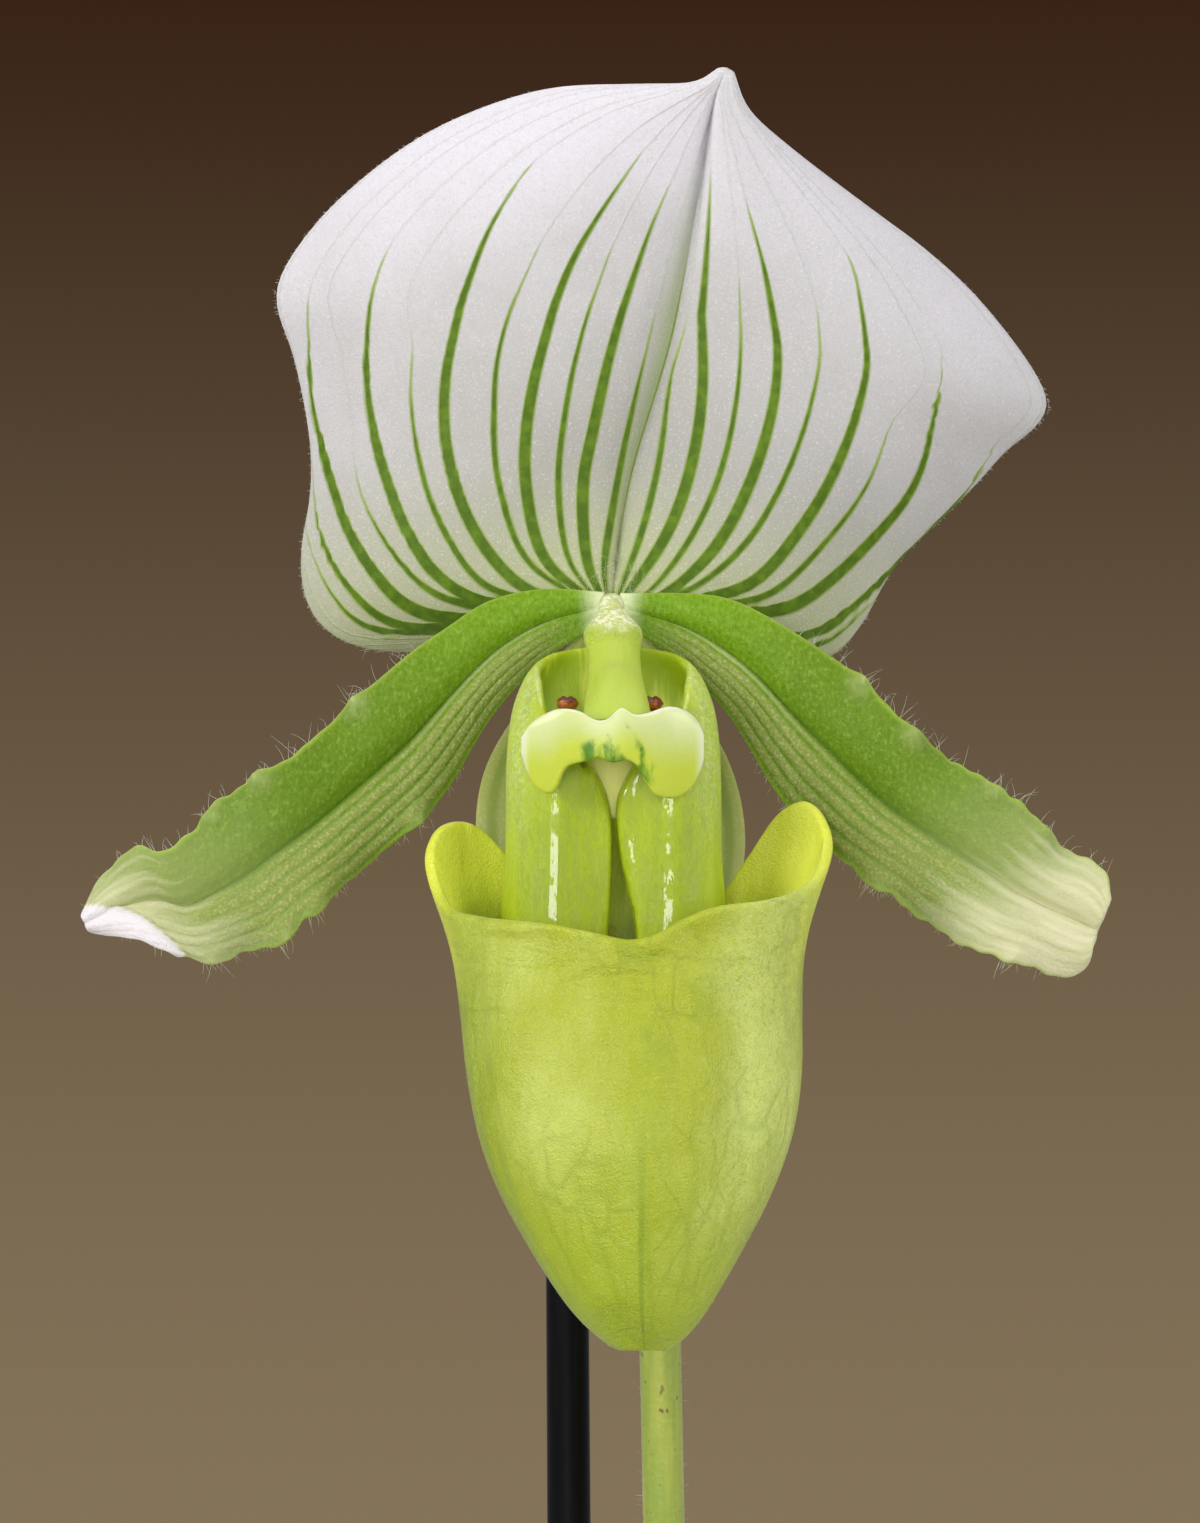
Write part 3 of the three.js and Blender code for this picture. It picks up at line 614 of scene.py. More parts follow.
def skin_effect():
    """The fine beaded skin of a petal: Height for relief and Glints for its bright specks."""
    def build(graph, entry):
        bead = graph.cells(entry["Vector"], entry["Scale"])
        coarse = graph.noise(entry["Vector"], graph.times(entry["Scale"], 0.35), 3)
        height = graph.less(coarse, graph.times(bead, 0.7))
        speck = graph.noise(entry["Vector"], graph.times(entry["Scale"], 0.8), 1)
        return {"Height": height, "Glints": graph.step(speck, 0.55, 0.75)}

    inputs = [("Vector", "Vector", (0, 0, 0)), ("Scale", "Float", 3000.0)]
    return shared_effect("Beaded skin", inputs, [("Height", "Float"), ("Glints", "Float")], build)


def mottle_effect():
    """Leaf mottling: dark, ragged blocks between pale ones, and fine lines along the leaf."""
    def build(graph, entry):
        wander = graph.node("TexNoise", {"Vector": entry["Vector"], "Scale": 260.0}).outputs["Color"]
        shift = graph.stretch(wander, (0.004, 0.004, 0))
        place = graph.node("VectorMath", {0: entry["Vector"], 1: shift}, operation="ADD").outputs[0]
        block = graph.cells(graph.stretch(place, (1, 0.42, 1)), entry["Scale"], "SMOOTH_F1", "Color")
        tone = graph.node("SeparateXYZ", {0: block}).outputs[0]
        fine = graph.noise(graph.stretch(entry["Vector"], (1, 0.35, 1)), 900.0, 3)
        dark = graph.step(graph.plus(tone, graph.times(fine, 0.5)), 0.5, 0.95)
        lines = graph.noise(graph.stretch(entry["Vector"], (1, 0.02, 1)), 1500.0, 1)
        return {"Dark": dark, "Lines": lines}

    inputs = [("Vector", "Vector", (0, 0, 0)), ("Scale", "Float", 240.0)]
    return shared_effect("Leaf mottling", inputs, [("Dark", "Float"), ("Lines", "Float")], build)


def weather_effect():
    """Patches of dust or mineral bloom in ragged clouds, with a fine grain."""
    def build(graph, entry):
        cloud = graph.noise(entry["Vector"], entry["Scale"], 6, 0.62)
        fine = graph.noise(entry["Vector"], graph.times(entry["Scale"], 14.0), 3, 0.7)
        both = graph.plus(cloud, graph.times(fine, 0.35))
        return {"Mask": graph.step(both, 0.6, 0.86), "Grain": fine}

    inputs = [("Vector", "Vector", (0, 0, 0)), ("Scale", "Float", 40.0)]
    return shared_effect("Weathering", inputs, [("Mask", "Float"), ("Grain", "Float")], build)


def new_finish(name, constants):
    """A material with one Principled shader, whose constant numbers are set on its own sockets."""
    material = bpy.data.materials.new(name)
    material.use_nodes = True
    shader = material.node_tree.nodes["Principled BSDF"]
    for label, value in constants.items():
        shader.inputs[label].default_value = value
    return material, Graph(material.node_tree), shader


def flesh(weight, reach=(1.0, 1.1, 0.5), scale=1.6):
    """Constants of living tissue that lets light through, with its reach in millimetres."""
    return {
        "Subsurface Weight": weight,
        "Subsurface Radius": reach,
        "Subsurface Scale": scale * MM,
    }


def sepal_finish(colours):
    """White with traced green veins and a greyer foot, partly painted shade, with painted shade on its
    right half, by its midrib and in its pits.
    """
    material, graph, shader = new_finish("sepal white", {
        **flesh(0.12, (1.0, 1.0, 0.8), 0.8), "Sheen Weight": 0.06, "Sheen Roughness": 0.4,
        "Roughness": 0.55, "Specular IOR Level": 0.25,
    })
    place = graph.object_place()
    number, half, edge = graph.pattern()
    across, along = graph.uv()
    skin = graph.shared(skin_effect(), {"Vector": place, "Scale": 6500.0})
    stripes = stripe_effect()
    vein = graph.shared(stripes, {"Place": number, "Half Width": half, "Softness": edge})["Mask"]
    inner = graph.less(half, graph.times(edge, 1.2))
    core = graph.shared(stripes, {"Place": number, "Half Width": inner, "Softness": edge})["Mask"]
    ridge = graph.shared(stripes, {"Place": number, "Half Width": edge, "Softness": edge})["Mask"]
    out = graph.away(across, 0.5)
    # Greyer towards the foot and the midrib, whiter up and out: partly the tissue's own grey, partly
    # painted shade of the hooded sepal's lower middle.
    height = graph.plus(along, graph.times(out, 0.5))
    lift = graph.times(graph.less(graph.noise(place, 90.0, 3), 0.5), 0.3)
    white = graph.step(graph.plus(height, lift), 0.35, 1.0)
    ground = graph.mix(white, colours.sepal_grey_and_shade, colours.sepal_white)
    # Painted shade over the right half.
    right = graph.step(across, 0.5, 0.75)
    ground = graph.mix(graph.times(right, 0.3), ground, SEPAL_RIGHT_SHADE)
    foot = graph.step(graph.plus(along, graph.times(out, -0.25)), 0.0, 0.3, 0.75, 0.0)
    ground = graph.mix(foot, ground, SEPAL_FOOT)
    ground = graph.mix(graph.times(skin["Glints"], 0.3), ground, SEPAL_GLINT)
    # Painted shade in the pits of the beaded skin.
    ground = graph.mix(graph.step(skin["Height"], -0.4, 0.3, 0.25, 0.0), ground, SEPAL_PIT_SHADE)
    ground = graph.mix(graph.times(ridge, 0.12), ground, SEPAL_RIDGE)
    # Painted shade on the slope just left of the midrib's groove.
    hollow = graph.times(graph.step(across, 0.43, 0.475), graph.step(across, 0.502, 0.494))
    hollow = graph.times(hollow, graph.step(along, 0.95, 0.55))
    ground = graph.mix(graph.times(hollow, 0.55), ground, SEPAL_GROOVE_SHADE)
    green = graph.mix(graph.step(graph.noise(place, 900.0, 2), 0.35, 0.75),
                      colours.vein_green, colours.vein_light)
    colour = graph.mix(graph.times(vein, 0.85), ground, VEIN_HALO)
    colour = graph.mix(core, colour, green)
    swell = graph.relief(graph.most(ridge, vein), 0.45, 0.14)
    graph.paint(shader, colour, graph.relief(skin["Height"], 0.6, 0.1, swell))
    return material


def petal_finish(colours):
    """Green above the midrib, striped below it, dusty and pale towards the tip, with painted shade along
    the midrib.
    """
    material, graph, shader = new_finish("petal green", {
        **flesh(0.15), "Sheen Weight": 0.06, "Sheen Roughness": 0.5, "Specular IOR Level": 0.2,
    })
    place = graph.object_place()
    number, white, tip = graph.pattern()
    across, along = graph.uv()
    skin = graph.shared(skin_effect(), {"Vector": place, "Scale": 3800.0})
    drawn = graph.join(graph.times(across, 13.0), graph.times(along, 6.0))
    streak = graph.step(graph.noise(drawn, 1.0, 3, 0.6), 0.35, 0.68)
    wobble = graph.less(graph.noise(place, 260.0, 2), 0.5)
    number = graph.plus(number, graph.times(wobble, 0.45))
    width = graph.blend(streak, 0.13, 0.26)
    vein = graph.shared(stripe_effect(), {"Place": number, "Half Width": width, "Softness": 0.2})["Mask"]
    fuzz = graph.step(graph.noise(place, 3600.0, 2), 0.42, 0.75)
    pale = graph.mix(graph.times(fuzz, 0.6), PETAL_FUZZ, colours.petal_stripe)
    near = graph.away(number, 0.6)
    first = graph.times(graph.step(near, 0.1, 0.6, 0.6, 0.0), graph.step(along, 0.5, 0.2))
    pale = graph.mix(first, pale, PETAL_FIRST_STRIPE)
    cloud = graph.step(graph.noise(place, 130.0, 3), 0.3, 0.75, -0.15, 0.15)
    deep = graph.plus(graph.step(along, 0.1, 0.42), cloud, True)
    green = graph.mix(deep, colours.petal_green, colours.petal_deep)
    speck = graph.noise(graph.stretch(place, (1, 1, 0.7)), 3000.0, 3, 0.6)
    green = graph.mix(graph.step(speck, 0.5, 0.75, 0.0, 0.55), green, PETAL_LIGHT_SPECK)
    green = graph.mix(graph.step(speck, 0.5, 0.3, 0.0, 0.4), green, PETAL_DARK_SPECK)
    shadow = graph.times(graph.opposite(streak), graph.step(along, 0.3, 0.6))
    green = graph.mix(graph.times(shadow, 0.3), green, PETAL_STREAK)
    # Painted shade along the midrib's groove.
    groove = graph.away(across, 0.5)
    dark = graph.times(graph.step(groove, 0.0, 0.06, 0.75, 0.0),
                      graph.times(graph.step(along, 0.05, 0.2), graph.step(along, 0.95, 0.75)))
    green = graph.mix(dark, green, PETAL_GROOVE_SHADE)
    soft = graph.mix(graph.times(tip, 0.75, True), green, PETAL_DUST)
    gap = graph.opposite(vein, True)
    striped = graph.times(graph.times(gap, white), graph.step(tip, 0.5, 1.3, 1.0, 0.3))
    colour = graph.mix(striped, soft, pale)
    lines = graph.plus(graph.times(vein, 0.16),
                       graph.times(graph.opposite(streak), 0.4))
    end = graph.less(graph.step(tip, 0.35, 1.4), lines, True)
    colour = graph.mix(end, colour, colours.petal_tip)
    root = graph.step(along, 0.0, 0.05, 1.0, 0.0)
    colour = graph.mix(root, colour, PETAL_ROOT)
    rim = graph.away(across, 0.5)
    colour = graph.mix(graph.step(rim, 0.45, 0.5, 0.0, 0.6), colour, PETAL_RIM)
    flap = graph.step(tip, 1.8, 2.2)
    colour = graph.mix(flap, colour, PETAL_FLAP)
    graph.feed(shader.inputs["Roughness"], graph.blend(striped, 0.5, 0.65))
    furrow = graph.times(vein, white)
    ridge = graph.relief(graph.opposite(furrow), 0.3, 0.12)
    down = graph.plus(skin["Height"], speck)
    graph.paint(shader, colour, graph.relief(down, 0.6, 0.12, ridge))
    return material


def synsepal_finish():
    """Pale green with a few broad veins."""
    material, graph, shader = new_finish("synsepal pale", {
        **flesh(0.3), "Roughness": 0.55, "Sheen Weight": 0.05, "Sheen Roughness": 0.5,
        "Specular IOR Level": 0.25,
    })
    place = graph.object_place()
    number, width, _ = graph.pattern()
    _, along = graph.uv()
    skin = graph.shared(skin_effect(), {"Vector": place, "Scale": 4200.0})
    vein = graph.shared(stripe_effect(), {"Place": number, "Half Width": width, "Softness": 0.12})
    ground = graph.mix(graph.step(along, 0.1, 0.9), SYNSEPAL_ROOT, SYNSEPAL_TIP)
    ground = graph.mix(graph.times(skin["Glints"], 0.3), ground, SYNSEPAL_GLINT)
    colour = graph.mix(graph.times(vein["Mask"], 0.55), ground, SYNSEPAL_VEIN)
    graph.paint(shader, colour, graph.relief(skin["Height"], 0.5, 0.11))
    return material


def slipper_finish(colours):
    """Yellow-green with lighter patches, a line down its middle and a net of veins; painted sheen on the
    right flank, painted shade on the left side, down the middle and in pits, and painted light on the
    ears.
    """
    material, graph, shader = new_finish("slipper green", {
        **flesh(0.3, (1.6, 1.7, 0.3), 1.6), "Sheen Weight": 0.08, "Sheen Roughness": 0.35,
        "Roughness": 0.42, "Specular IOR Level": 0.45,
    })
    place = graph.object_place()
    turn, height, front = graph.pattern()
    skin = graph.shared(skin_effect(), {"Vector": place, "Scale": 5200.0})
    side = graph.opposite(front)
    ear = graph.times(graph.step(height, 0.72, 0.9), side)
    body = graph.opposite(ear)
    wander = graph.node("TexNoise", {"Vector": place, "Scale": 110.0, "Detail": 1.5}).outputs["Color"]
    shift = graph.stretch(wander, (0.011, 0.011, 0.018))
    netted = graph.node("VectorMath", {0: place, 1: shift}, operation="ADD").outputs[0]
    net = graph.cells(graph.stretch(netted, (1, 1, 0.5)), 290.0, "DISTANCE_TO_EDGE")
    shown = graph.step(graph.noise(place, 75.0, 2), 0.36, 0.66)
    veins = graph.times(graph.step(net, 0.0, 0.11, 1.0, 0.0), graph.times(shown, body))
    drift = graph.times(graph.less(graph.noise(place, 60.0, 2), 0.5), 1.8)
    number = graph.plus(graph.times(turn, 9.0), drift)
    long_veins = graph.shared(stripe_effect(), {"Place": number, "Half Width": 0.07, "Softness": 0.13})
    low_zone = graph.times(graph.step(height, 0.1, 0.3), graph.step(height, 0.66, 0.36))
    runs = graph.times(long_veins["Mask"], low_zone)
    middle = graph.away(turn, 0.01)
    keel = graph.times(graph.step(middle, 0.002, 0.012, 0.55, 0.0),
                      graph.step(height, 0.66, 0.35))
    # Painted shade in a soft band down the middle of the front.
    middle_shade = graph.times(graph.step(middle, 0.0, 0.1, 0.45, 0.0),
                      graph.step(height, 0.95, 0.6))
    ground = graph.mix(graph.step(height, 0.02, 0.62), colours.lip_low, colours.lip_green)
    patch = graph.step(graph.noise(graph.stretch(place, (1, 1, 0.5)), 110.0, 3, 0.55), 0.4, 0.72)
    patch = graph.times(patch, graph.step(height, 0.2, 0.55, 0.25, 0.9))
    ground = graph.mix(patch, ground, colours.lip_light)
    # Painted sheen: a pale patch on the right flank where the right lamp's sheen falls.
    ragged = graph.times(graph.less(graph.noise(place, 120.0, 3), 0.5), 0.25)
    painted_sheen = graph.times(graph.step(graph.plus(turn, ragged), 0.1, 0.26),
                       graph.step(turn, 0.5, 0.38))
    painted_sheen = graph.times(painted_sheen, graph.step(height, 0.12, 0.5))
    fine = graph.blend(graph.step(skin["Height"], -0.3, 0.35), 0.2, 0.6)
    ground = graph.mix(graph.times(painted_sheen, fine), ground, LIP_FLANK_SHEEN)
    # Painted shade on the left side.
    ground = graph.mix(graph.step(turn, -0.18, -0.45, 0.0, 0.75), ground, LIP_LEFT_SHADE)
    ground = graph.mix(middle_shade, ground, LIP_MIDDLE_SHADE)
    ground = graph.mix(graph.times(skin["Glints"], 0.22), ground, LIP_GLINT)
    # Painted shade in the pits of the beaded skin.
    ground = graph.mix(graph.step(skin["Height"], -0.4, 0.3, 0.25, 0.0), ground, LIP_PIT_SHADE)
    line = graph.most(graph.times(veins, 0.26), keel)
    line = graph.most(line, graph.times(runs, 0.3))
    colour = graph.mix(line, ground, colours.lip_vein)
    # Painted light on the ears, which the lamps barely reach.
    colour = graph.mix(graph.times(ear, 0.95), colour, LIP_EAR_PAINTED_LIGHT)
    lines = graph.most(veins, runs)
    ridge = graph.relief(graph.opposite(lines), 0.3, 0.16)
    puckers = graph.noise(graph.stretch(place, (0.8, 0.8, 2.4)), 130.0, 2, 0.5, 0.5)
    puckers = graph.times(puckers, graph.times(graph.step(height, 0.6, 0.92), body))
    waves = graph.noise(graph.stretch(place, (1, 1, 0.55)), 120.0, 3)
    waves = graph.plus(waves, graph.times(puckers, 0.8))
    swell = graph.relief(waves, 0.9, 2.2, ridge)
    graph.paint(shader, colour, graph.relief(skin["Height"], 0.8, 0.12, swell))
    return material


def neck_finish():
    """Green, with broken wet flakes on its two rolled lobes, and painted light inside the tube."""
    material, graph, shader = new_finish("neck wet green", {
        **flesh(0.6, (2.2, 2.3, 0.3), 2.0), "Specular IOR Level": 0.4, "Roughness": 0.45,
        "Coat Roughness": 0.05, "Coat IOR": 1.8,
    })
    place = graph.object_place()
    across, along = graph.uv()
    roll = graph.away(graph.times(across, 2.0), 1.0)
    wet = graph.step(roll, 0.5, 0.6)
    back = graph.step(roll, 0.3, 0.5, 1.0, 0.0)
    ground = graph.mix(graph.step(along, 0.1, 0.95), NECK_LOW, NECK_HIGH)
    streak = graph.noise(graph.stretch(place, (1, 1, 0.12)), 700.0, 3)
    ground = graph.mix(graph.times(graph.step(streak, 0.4, 0.7), 0.4),
                       ground, NECK_STREAK)
    # Painted light inside the tube: the lining, and most of all the depth near the foot, are lighter than
    # the outside.
    inner = graph.mix(graph.step(streak, 0.42, 0.6), NECK_LIT_LINING, NECK_LIT_LINING_STREAK)
    deep = graph.mix(graph.step(streak, 0.42, 0.6), NECK_LIT_DEPTH, NECK_LIT_DEPTH_STREAK)
    inner = graph.mix(graph.step(along, 0.6, 0.8), deep, inner)
    ground = graph.mix(graph.times(back, 0.9), ground, inner)
    down = graph.times(graph.step(roll, 0.4, 0.52), graph.step(roll, 0.68, 0.58))
    down = graph.times(down, graph.step(along, 0.35, 0.85))
    fuzz = graph.step(graph.noise(place, 2600.0, 3, 0.6), 0.42, 0.66)
    ground = graph.mix(graph.times(down, graph.blend(fuzz, 0.25, 0.8)), ground, NECK_DOWN)
    edge = graph.step(roll, 0.955, 0.99, 0.0, 0.75)
    colour = graph.mix(edge, ground, NECK_EDGE)
    ragged = graph.noise(graph.stretch(place, (1, 1, 0.5)), 1300.0, 4, 0.65)
    broad = graph.noise(graph.stretch(place, (1, 1, 0.4)), 330.0, 2)
    ragged = graph.plus(ragged, graph.times(graph.less(broad, 0.5), 0.5))
    flakes = graph.times(wet, graph.step(ragged, 0.46, 0.5))
    graph.feed(shader.inputs["Coat Weight"], flakes)
    ripple = graph.noise(graph.stretch(place, (1, 1, 0.5)), 1700.0, 3, 0.6)
    graph.paint(shader, colour, graph.relief(ripple, 0.8, 0.13))
    return material


def shield_finish(colours):
    """Pale above and yellow-green below, with green marks over the arch."""
    material, graph, shader = new_finish("shield pale", {
        **flesh(0.7, (1.6, 1.6, 0.6), 1.6), "Roughness": 0.35, "Specular IOR Level": 0.35,
        "Coat Weight": 0.2, "Coat Roughness": 0.15,
    })
    place = graph.object_place()
    side, height, rim = graph.pattern()
    away = graph.away(side, 0.04)
    reach = graph.step(away, 0.0, 0.42, 0.85, 0.42)
    net = graph.cells(graph.stretch(place, (1, 1, 0.5)), 900.0, "DISTANCE_TO_EDGE")
    ragged = graph.step(graph.noise(graph.stretch(place, (1, 1, 0.5)), 620.0, 4, 0.6), 0.42, 0.6)
    marks = graph.times(graph.step(graph.less(height, reach), -0.16, 0.02, 1.0, 0.0),
                       graph.step(away, 0.32, 0.46, 1.0, 0.0))
    marks = graph.times(marks, graph.times(ragged, graph.step(net, 0.0, 0.4, 1.0, 0.6)))
    ground = graph.mix(graph.step(height, 0.25, 0.9), colours.shield_low, colours.shield_pale)
    cloud = graph.step(graph.noise(place, 260.0, 3), 0.4, 0.7)
    ground = graph.mix(graph.times(cloud, 0.25), ground, SHIELD_CLOUD)
    colour = graph.mix(graph.step(rim, 0.88, 1.0, 0.0, 0.75), ground, SHIELD_RIM)
    colour = graph.mix(marks, colour, SHIELD_MARK)
    graph.paint(shader, colour, graph.relief(graph.noise(place, 1500.0, 3), 0.25, 0.1))
    return material


def column_finish(colours):
    """A green stalk with a beaded pale top and a cream stigma that is partly painted light."""
    material, graph, shader = new_finish("column green", {
        **flesh(0.5, (1.6, 1.7, 0.4), 1.6), "Roughness": 0.4, "Sheen Weight": 0.1,
        "Sheen Roughness": 0.4, "Specular IOR Level": 0.4,
    })
    place = graph.object_place()
    around, along, tongue = graph.pattern()
    bead = graph.step(graph.noise(place, 1500.0, 3, 0.6), 0.4, 0.62)
    top = graph.mix(bead, COLUMN_BEADS, colours.column_top)
    middle = graph.away(graph.math("FRACT", graph.times(around, 2.0)), 0.5)
    collar = graph.plus(along, graph.step(middle, 0.1, 0.3, 0.0, 0.06))
    streak = graph.noise(graph.stretch(place, (1, 0.2, 0.2)), 900.0, 2)
    green = graph.mix(graph.step(streak, 0.4, 0.7, 0.0, 0.45), colours.column_green, COLUMN_STREAK)
    ground = graph.mix(graph.step(collar, 0.27, 0.4), top, green)
    ground = graph.mix(graph.step(along, 0.7, 1.0, 0.0, 0.35), ground, COLUMN_TIP)
    # The stigma's own cream, painted much lighter to stand in for light that the shield keeps off.
    colour = graph.mix(tongue, ground, STIGMA_CREAM_AND_LIGHT)
    fuzz = graph.noise(graph.stretch(place, (1.0, 0.3, 0.3)), 4200.0, 3)
    beaded = graph.relief(graph.times(bead, graph.step(along, 0.48, 0.34)), 0.7, 0.25)
    graph.paint(shader, colour, graph.relief(fuzz, 0.45, 0.12, beaded))
    return material


def anther_finish(colours):
    """Orange-brown with dark red rims."""
    material, graph, shader = new_finish("anther brown", {
        "Roughness": 0.3, "Coat Weight": 0.4, "Coat Roughness": 0.12, "Subsurface Weight": 0.2,
        "Subsurface Radius": (1.0, 0.5, 0.2), "Subsurface Scale": 0.6 * MM,
        "Specular IOR Level": 0.3,
    })
    place = graph.object_place()
    _, _, rise = graph.pattern()
    patch = graph.step(graph.noise(place, 1500.0, 3), 0.42, 0.6)
    rim = graph.most(graph.step(rise, 0.25, 0.6), graph.times(patch, 0.8))
    colour = graph.mix(rim, colours.anther_brown, colours.anther_rim)
    graph.paint(shader, colour, graph.relief(graph.noise(place, 1700.0, 3), 0.7, 0.3))
    return material


def stem_finish(name, light, dark, speck_share):
    """A fleshy green stalk with brown specks; a higher share makes fewer of them."""
    material, graph, shader = new_finish(name, {
        **flesh(0.25), "Roughness": 0.4, "Sheen Weight": 0.25, "Sheen Roughness": 0.5,
    })
    place = graph.object_place()
    streak = graph.noise(graph.stretch(place, (1, 1, 0.08)), 900.0, 3)
    ground = graph.mix(graph.step(streak, 0.35, 0.7), dark, light)
    spot = graph.noise(graph.stretch(place, (1, 1, 0.6)), 950.0, 2)
    colour = graph.mix(graph.step(spot, speck_share, speck_share + 0.06), ground, STALK_SPECK)
    beads = graph.cells(place, 1500.0)
    graph.paint(shader, colour, graph.relief(beads, 0.35, 0.15))
    return material


def leaf_finish(name, pale, dark, scale):
    """The upper face of a leaf: dark blocks on pale green, and a sunken midrib."""
    material, graph, shader = new_finish(name, {
        **flesh(0.12, (0.6, 0.8, 0.3), 1.0), "Specular IOR Level": 0.5, "Coat Weight": 0.12,
        "Coat Roughness": 0.3,
    })
    across, along, share = graph.pattern()
    flat = graph.join(across, along)
    mottle = graph.shared(mottle_effect(), {"Vector": flat, "Scale": scale})
    shade = graph.mix(mottle["Dark"], pale, dark)
    lines = graph.step(mottle["Lines"], 0.35, 0.68)
    shade = graph.mix(graph.times(lines, 0.28), shade, dark)
    rib = graph.step(graph.math("ABSOLUTE", across), 0.0, 0.0013, 0.6, 0.0)
    shade = graph.mix(rib, shade, LEAF_RIB)
    foot = graph.step(share, 0.02, 0.3, 1.0, 0.0)
    shade = graph.mix(graph.times(foot, 0.7), shade, LEAF_FOOT)
    graph.feed(shader.inputs["Roughness"], graph.blend(mottle["Dark"], 0.44, 0.34))
    ribs = graph.relief(graph.less(mottle["Lines"], graph.times(rib, 0.8)), 0.4, 0.3)
    cells = graph.noise(flat, 2200.0, 2)
    graph.paint(shader, shade, graph.relief(cells, 0.25, 0.1, ribs))
    return material


def leaf_back_finish(name, pale, flush):
    """The underside of a leaf: plain pale green, flushed towards its foot."""
    material, graph, shader = new_finish(name, {
        **flesh(0.12, (0.6, 0.8, 0.3), 1.0), "Roughness": 0.5, "Specular IOR Level": 0.4,
    })
    across, along, share = graph.pattern()
    flat = graph.join(across, along)
    dots = graph.step(graph.noise(flat, 1100.0, 3, 0.7), 0.5, 0.68)
    near = graph.step(share, 0.1, 0.65, 0.85, 0.1)
    colour = graph.mix(graph.times(dots, near), pale, flush)
    lines = graph.noise(graph.stretch(flat, (1, 0.02, 1)), 1500.0, 1)
    keel = graph.step(graph.math("ABSOLUTE", across), 0.0, 0.0016, 0.5, 0.0)
    colour = graph.mix(keel, colour, LEAF_KEEL)
    graph.paint(shader, colour, graph.relief(lines, 0.35, 0.3))
    return material


def clay_finish(colours):
    """Fired clay with thrown rings, dusty at its foot and rim."""
    material, graph, shader = new_finish("fired clay", {"Roughness": 0.88, "Specular IOR Level": 0.3})
    place = graph.object_place()
    dust = graph.shared(weather_effect(), {"Vector": place, "Scale": 26.0})
    height = graph.node("SeparateXYZ", {0: place}).outputs[2]
    speckle = graph.noise(place, 900.0, 3, 0.7)
    cloud = graph.noise(place, 18.0, 4, 0.6)
    ground = graph.mix(graph.step(cloud, 0.3, 0.72), colours.clay_deep, colours.clay)
    ground = graph.mix(graph.step(speckle, 0.58, 0.75, 0.0, 0.4), ground, CLAY_SPECKLE)
    low = graph.step(height, 0.0, 0.045, 0.55, 0.0)
    high = graph.step(height, 0.07, 0.106, 0.0, 0.5)
    amount = graph.times(dust["Mask"], graph.plus(graph.plus(low, high), 0.3))
    colour = graph.mix(amount, ground, CLAY_DUST)
    rings = graph.noise(graph.stretch(place, (0.02, 0.02, 1)), 620.0, 2)
    thrown = graph.relief(rings, 0.35, 0.5)
    graph.paint(shader, colour, graph.relief(dust["Grain"], 0.4, 0.35, thrown))
    return material


def bark_finish(colours):
    """Layered bark, each chip in a shade of its own."""
    material, graph, shader = new_finish("fir bark", {"Roughness": 0.9, "Specular IOR Level": 0.25})
    place = graph.object_place()
    shade, _, _ = graph.pattern()
    dust = graph.shared(weather_effect(), {"Vector": place, "Scale": 130.0})
    layers = graph.noise(graph.stretch(place, (1, 1, 3.2)), 420.0, 4, 0.65)
    ground = graph.mix(shade, colours.bark_dark, colours.bark_light)
    colour = graph.mix(graph.step(layers, 0.42, 0.66, 0.0, 0.7), ground, BARK_CRACK)
    colour = graph.mix(graph.times(dust["Mask"], 0.3), colour, BARK_DUST)
    grain = graph.relief(layers, 0.7, 0.9)
    graph.paint(shader, colour, graph.relief(dust["Grain"], 0.5, 0.4, grain))
    return material


def stake_finish(colours):
    """A black coating over long fibres."""
    material, graph, shader = new_finish("stake black", {
        "Roughness": 0.3, "Specular IOR Level": 0.12, "Coat Weight": 0.12, "Coat Roughness": 0.1,
    })
    place = graph.object_place()
    fibre = graph.noise(graph.stretch(place, (1, 1, 0.03)), 1400.0, 3)
    colour = graph.mix(graph.step(fibre, 0.35, 0.7), colours.stake, STAKE_FIBRE)
    graph.paint(shader, colour, graph.relief(fibre, 0.3, 0.12))
    return material


def clip_finish(colours):
    """Soft green plastic."""
    material, graph, shader = new_finish("clip green", {
        "Roughness": 0.38, "Subsurface Weight": 0.1, "Subsurface Scale": 0.6 * MM,
    })
    place = graph.object_place()
    grain = graph.noise(place, 1300.0, 3)
    colour = graph.mix(graph.step(grain, 0.3, 0.8), colours.clip, CLIP_GRAIN)
    graph.paint(shader, colour, graph.relief(grain, 0.2, 0.08))
    return material


def hair_finish(name, light, dark):
    """Fine down in two shades."""
    material, graph, shader = new_finish(name, {
        "Roughness": 0.35, "Subsurface Weight": 0.3, "Subsurface Scale": 0.3 * MM,
        "Sheen Weight": 0.3,
    })
    grain = graph.noise(graph.object_place(), 900.0, 1)
    graph.feed(shader.inputs["Base Color"], graph.mix(graph.step(grain, 0.3, 0.7), dark, light))
    return material


